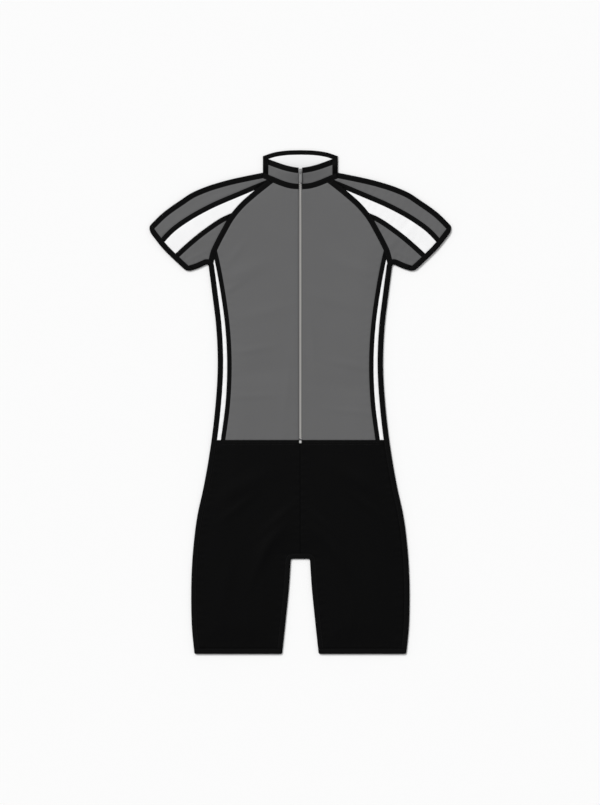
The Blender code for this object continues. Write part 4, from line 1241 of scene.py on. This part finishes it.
def add_topstitching(p):
    """Rows beside the zip, on the body and the collar, and under the waist seam, front and back."""
    neck = p.front_neck[0, 1]
    for low, high in ((WAIST, neck - TAPE / 2), (neck + TAPE / 2, ZIP_STITCH_TOP)):
        rows = np.arange(low + STITCH_PITCH, high - STITCH_PITCH, SPAN)
        plan = np.column_stack([np.full(len(rows), ZIP_SLOT + ZIP_STITCH_IN), rows])
        for _, side in SIDES:
            points = standing(plan, front_height(plan, p.outline, side))
            stitch_row("stitching_zip", points, UP, side)
    for below in WAIST_ROWS:
        line = between(level(WAIST - below), p.middle, p.side_in)
        plan = placed(line, np.linspace(*WAIST_ROW_ENDS, WAIST_ROW_POINTS))
        for _, side in SIDES:
            for height, up in ((front_height, UP), (back_height, DOWN)):
                points = standing(plan, height(plan, p.outline, side))
                stitch_row("stitching_waist", points, up, side)


# Zip


def signed_power(value, power):
    """The power of a number's size, with its sign kept."""
    return np.sign(value) * np.abs(value) ** power


def capped_rings(rings, first, last):
    """Closed form of rings of points, each anticlockwise about the way to the last tip.

    Returns its points and its triangles, facing out.
    """
    count, around = rings.shape[:2]
    points = np.vstack([[first], rings.reshape(-1, 3), [last]])
    j = np.arange(around)
    after = (j + 1) % around
    faces = [np.column_stack([0 * j, 1 + after, 1 + j])]
    for ring in range(count - 1):
        here, above = 1 + ring * around, 1 + (ring + 1) * around
        faces.append(np.column_stack([here + j, here + after, above + after]))
        faces.append(np.column_stack([here + j, above + after, above + j]))
    top = 1 + (count - 1) * around
    faces.append(np.column_stack([0 * j + len(points) - 1, top + j, top + after]))
    return points, np.vstack(faces)


def pebble(size, power, rings, around):
    """Superellipsoid: an ellipsoid of a size, made the squarer the smaller its power is."""
    latitude = np.linspace(-math.pi / 2, math.pi / 2, rings + 2)[1:-1, None]
    longitude = full_turn(around)[None]
    wide = signed_power(np.cos(latitude), power)
    points = np.stack([
        wide * signed_power(np.cos(longitude), power),
        wide * signed_power(np.sin(longitude), power),
        signed_power(np.sin(latitude), power) + 0 * longitude,
    ], axis=-1)
    points, faces = capped_rings(points, (0.0, 0.0, -1.0), (0.0, 0.0, 1.0))
    return points * np.array(size) / 2, faces


def joined_forms(forms):
    """Points and faces of several forms as one."""
    starts = np.cumsum([0] + [len(points) for points, _ in forms])
    faces = [faces + start for (_, faces), start in zip(forms, starts)]
    return np.vstack([points for points, _ in forms]), np.vstack(faces)


def add_zip(outline):
    """Woven tapes, two rows of moulded teeth that interlock, and the bottom stop."""
    columns = np.array(ZIP_TAPE_LINES) + ZIP_TAPE_INNER
    rows = np.arange(ZIP_END, FRONT_RIM[0][2] - ZIP_BELOW_RIM, GRID)
    plan = np.stack(np.meshgrid(columns, rows, indexing="ij"), axis=-1)
    cord = ZIP_CORD * np.exp(-(((columns - ZIP_TAPE_INNER - ZIP_CORD) / ZIP_CORD) ** 2))[:, None]
    for ending, side in SIDES:
        height = front_height(plan, outline, side) - ZIP_TAPE_DROP + cord / 2
        points = standing(plan, height)
        sheet("zip_tape" + ending, "_woven", points, plan, "zip_tape", side, ZIP_TAPE_WALL)
    start, end = WAIST + ZIP_FIRST_TOOTH, SLIDER_Y - KEEL_SIZE[1] / 2 - TOOTH_SIZE[1]
    places = np.arange(start, end, TOOTH_PITCH / 2)
    form, triangles = pebble(TOOTH_SIZE, TOOTH_ROUND, rings=4, around=10)
    side = np.where(np.arange(len(places)) % 2 == 0, 1.0, -1.0)
    middle = np.column_stack([side * TOOTH_REACH, places])
    top = front_height(np.column_stack([0 * places, places]), outline) + CHAIN_TOP
    points = form[None] * np.column_stack([side, side, 1 + 0 * side])[:, None]
    points = points + np.column_stack([middle, top - TOOTH_SIZE[2] / 2])[:, None]
    faces = copied(triangles, len(form), len(places))
    suit_piece(mesh_object("zip_teeth", points, faces, LIGHT_PLASTIC), "zip_chain")

    seat = float(front_height(np.array([[0.0, STOP_Y]]), outline)[0])
    form, triangles = pebble(STOP_SIZE, STOP_ROUND, rings=12, around=32)
    form = form + (0.0, STOP_Y, seat + STOP_SIZE[2] / 2 + GAP)
    made = mesh_object("zip_bottom_stop", form, triangles, STOP_PLASTIC)
    suit_piece(made, "zip_stop")


def arch(width, length, height, wall, steps=25, points=16):
    """Strap bent over the slider: a rounded section carried along a squarish half ring."""
    turn = half_turn(steps)
    path = np.column_stack([
        -(length - wall) / 2 * signed_power(np.cos(turn), BRIDGE_BEND),
        (height - wall / 2) * signed_power(np.sin(turn), BRIDGE_BEND),
    ])
    out = left_of(unit(np.gradient(path, axis=0)))
    around = full_turn(points)
    across = width / 2 * signed_power(np.cos(around), BRIDGE_ROUND)
    off = wall / 2 * signed_power(np.sin(around), BRIDGE_ROUND)
    in_plane = path[:, None] + out[:, None] * off[None, :, None]
    across = np.broadcast_to(across[None, :, None], (steps, points, 1))
    rings = np.concatenate([across, in_plane], axis=-1)
    return capped_rings(rings[:, ::-1], (0.0, *path[0]), (0.0, *path[-1]))


def tab_form():
    """Pull tab: a rounded section carried round the plate, from the eye's edge to the outline."""
    turn = full_turn(64)
    length = TAB_SIZE[1]
    eye = np.column_stack([
        TAB_EYE[0] / 2 * signed_power(np.cos(turn), TAB_ROUND),
        TAB_EYE[1] / 2 * signed_power(np.sin(turn), TAB_ROUND) - (TAB_BAR + TAB_EYE[1]) / 2,
    ])
    outline = np.column_stack([
        TAB_SIZE[0] / 2 * signed_power(np.cos(turn), TAB_ROUND),
        length / 2 * signed_power(np.sin(turn), TAB_END_ROUND) + TAB_BAR / 2 - length / 2,
    ])
    outline[:, 0] *= 1 - TAB_NARROW * eased((outline[:, 1] + length / 2) / (length / 2))
    ahead = unit(outline - eye)
    bend = np.radians(np.arange(-90, 91, 30))
    edge, rise = TAB_SIZE[2] / 2 * (1 - np.cos(bend)), TAB_SIZE[2] / 2 * np.sin(bend)
    outer = outline[:, None] - ahead[:, None] * edge[None, :, None]
    inner = eye[:, None] + ahead[:, None] * edge[None, :, None]
    plan = np.concatenate([outer, inner[:, ::-1]], axis=1)
    height = np.broadcast_to(np.concatenate([rise, rise[::-1]]), plan.shape[:2])
    faces = grid_faces(*plan.shape[:2], around=True, closed=True)
    return standing(plan, height).reshape(-1, 3), faces


def add_slider(outline):
    """Slider in the plane of the collar at the top of the zip, and the pull tab in its bridge."""
    near = np.array([[0.0, SLIDER_Y - SPAN / 2], [0.0, SLIDER_Y], [0.0, SLIDER_Y + SPAN / 2]])
    below, here, above = (float(z) for z in front_height(near, outline))
    tilt = math.atan2(above - below, SPAN)
    c, s = math.cos(tilt), math.sin(tilt)
    turned = np.array([[1.0, 0.0, 0.0], [0.0, c, s], [0.0, -s, c]])

    top = PLATE_RISE + PLATE_SIZE[2]
    plate, plate_faces = pebble(PLATE_SIZE, PLATE_ROUND, rings=12, around=48)
    plate[:, 0] *= 1 - PLATE_NARROW * (0.5 - plate[:, 1] / PLATE_SIZE[1])
    plate[:, 2] += PLATE_RISE + PLATE_SIZE[2] / 2
    foot = GAP - ZIP_TAPE_DROP
    keel_height = PLATE_RISE + PLATE_SIZE[2] / 2 - foot
    keel, keel_faces = pebble((*KEEL_SIZE, keel_height), KEEL_ROUND, rings=6, around=24)
    keel[:, 2] += foot + keel_height / 2
    bridge, bridge_faces = arch(*BRIDGE_SIZE, BRIDGE_WALL)
    bridge[:, 2] += top
    points, faces = joined_forms(((plate, plate_faces), (keel, keel_faces), (bridge, bridge_faces)))
    points = points @ turned + (0.0, SLIDER_Y, here)
    suit_piece(mesh_object("zip_slider_cast", points, faces, ZIP_METAL), "zip_slider")

    points, faces = tab_form()
    points = (points + (0.0, 0.0, top + BRIDGE_HOLE / 2)) @ turned + (0.0, SLIDER_Y, here)
    made = mesh_object("zip_pull_tab_cast", points, faces, ZIP_METAL)
    suit_piece(made, "zip_pull_tab", "pull_tab")


# Studio


def add_floor():
    """Plain pale floor under the suit."""
    corners = [(x * FLOOR, y * FLOOR, FLOOR_Z) for x, y in ((-1, -1), (1, -1), (1, 1), (-1, 1))]
    material = Shader("floor", FLOOR_COLOUR, roughness=0.9).made
    mesh_object("floor", np.array(corners), np.array([[0, 1, 2, 3]]), material)


def add_light():
    """Even sky with a soft sun from the upper left of the picture."""
    world = bpy.data.worlds.new("studio")
    world.use_nodes = True
    sky = world.node_tree.nodes["Background"].inputs
    sky["Color"].default_value = (1.0, 1.0, 1.0, 1.0)
    sky["Strength"].default_value = SKY
    bpy.context.scene.world = world
    sun = bpy.data.lights.new("sun", "SUN")
    sun.energy = SUN_STRENGTH
    sun.angle = math.radians(SUN_SPREAD)
    made = linked("sun", sun)
    made.rotation_euler = (0.0, math.radians(90 - SUN_HEIGHT), math.radians(SUN_FROM))


def add_camera():
    """Camera straight above the suit, at the photograph's scale, with +Y up in the picture."""
    data = bpy.data.cameras.new("camera")
    data.sensor_width = SENSOR
    data.lens = LENS
    distance = PHOTO_SIZE[1] * PIXEL * LENS / SENSOR
    camera = linked("camera", data)
    camera.location = (*CAMERA_PLACE, distance + EDGE_HEIGHT)
    bpy.context.scene.camera = camera
    bpy.context.scene.view_settings.view_transform = "Standard"


def main():
    """Builds the suit and its studio. Panels end under the tapes, tapes just clear of others."""
    under, butt = Pattern(-UNDER), Pattern(JOIN)
    add_camera()
    add_light()
    add_floor()
    add_front_panels(under)
    add_front_tapes(butt)
    add_collar_bindings(butt)
    add_back_panels(under)
    add_back_tapes(butt)
    add_edges(butt)
    add_topstitching(under)
    add_stitching()
    add_zip(butt.outline)
    add_slider(butt.outline)


main()
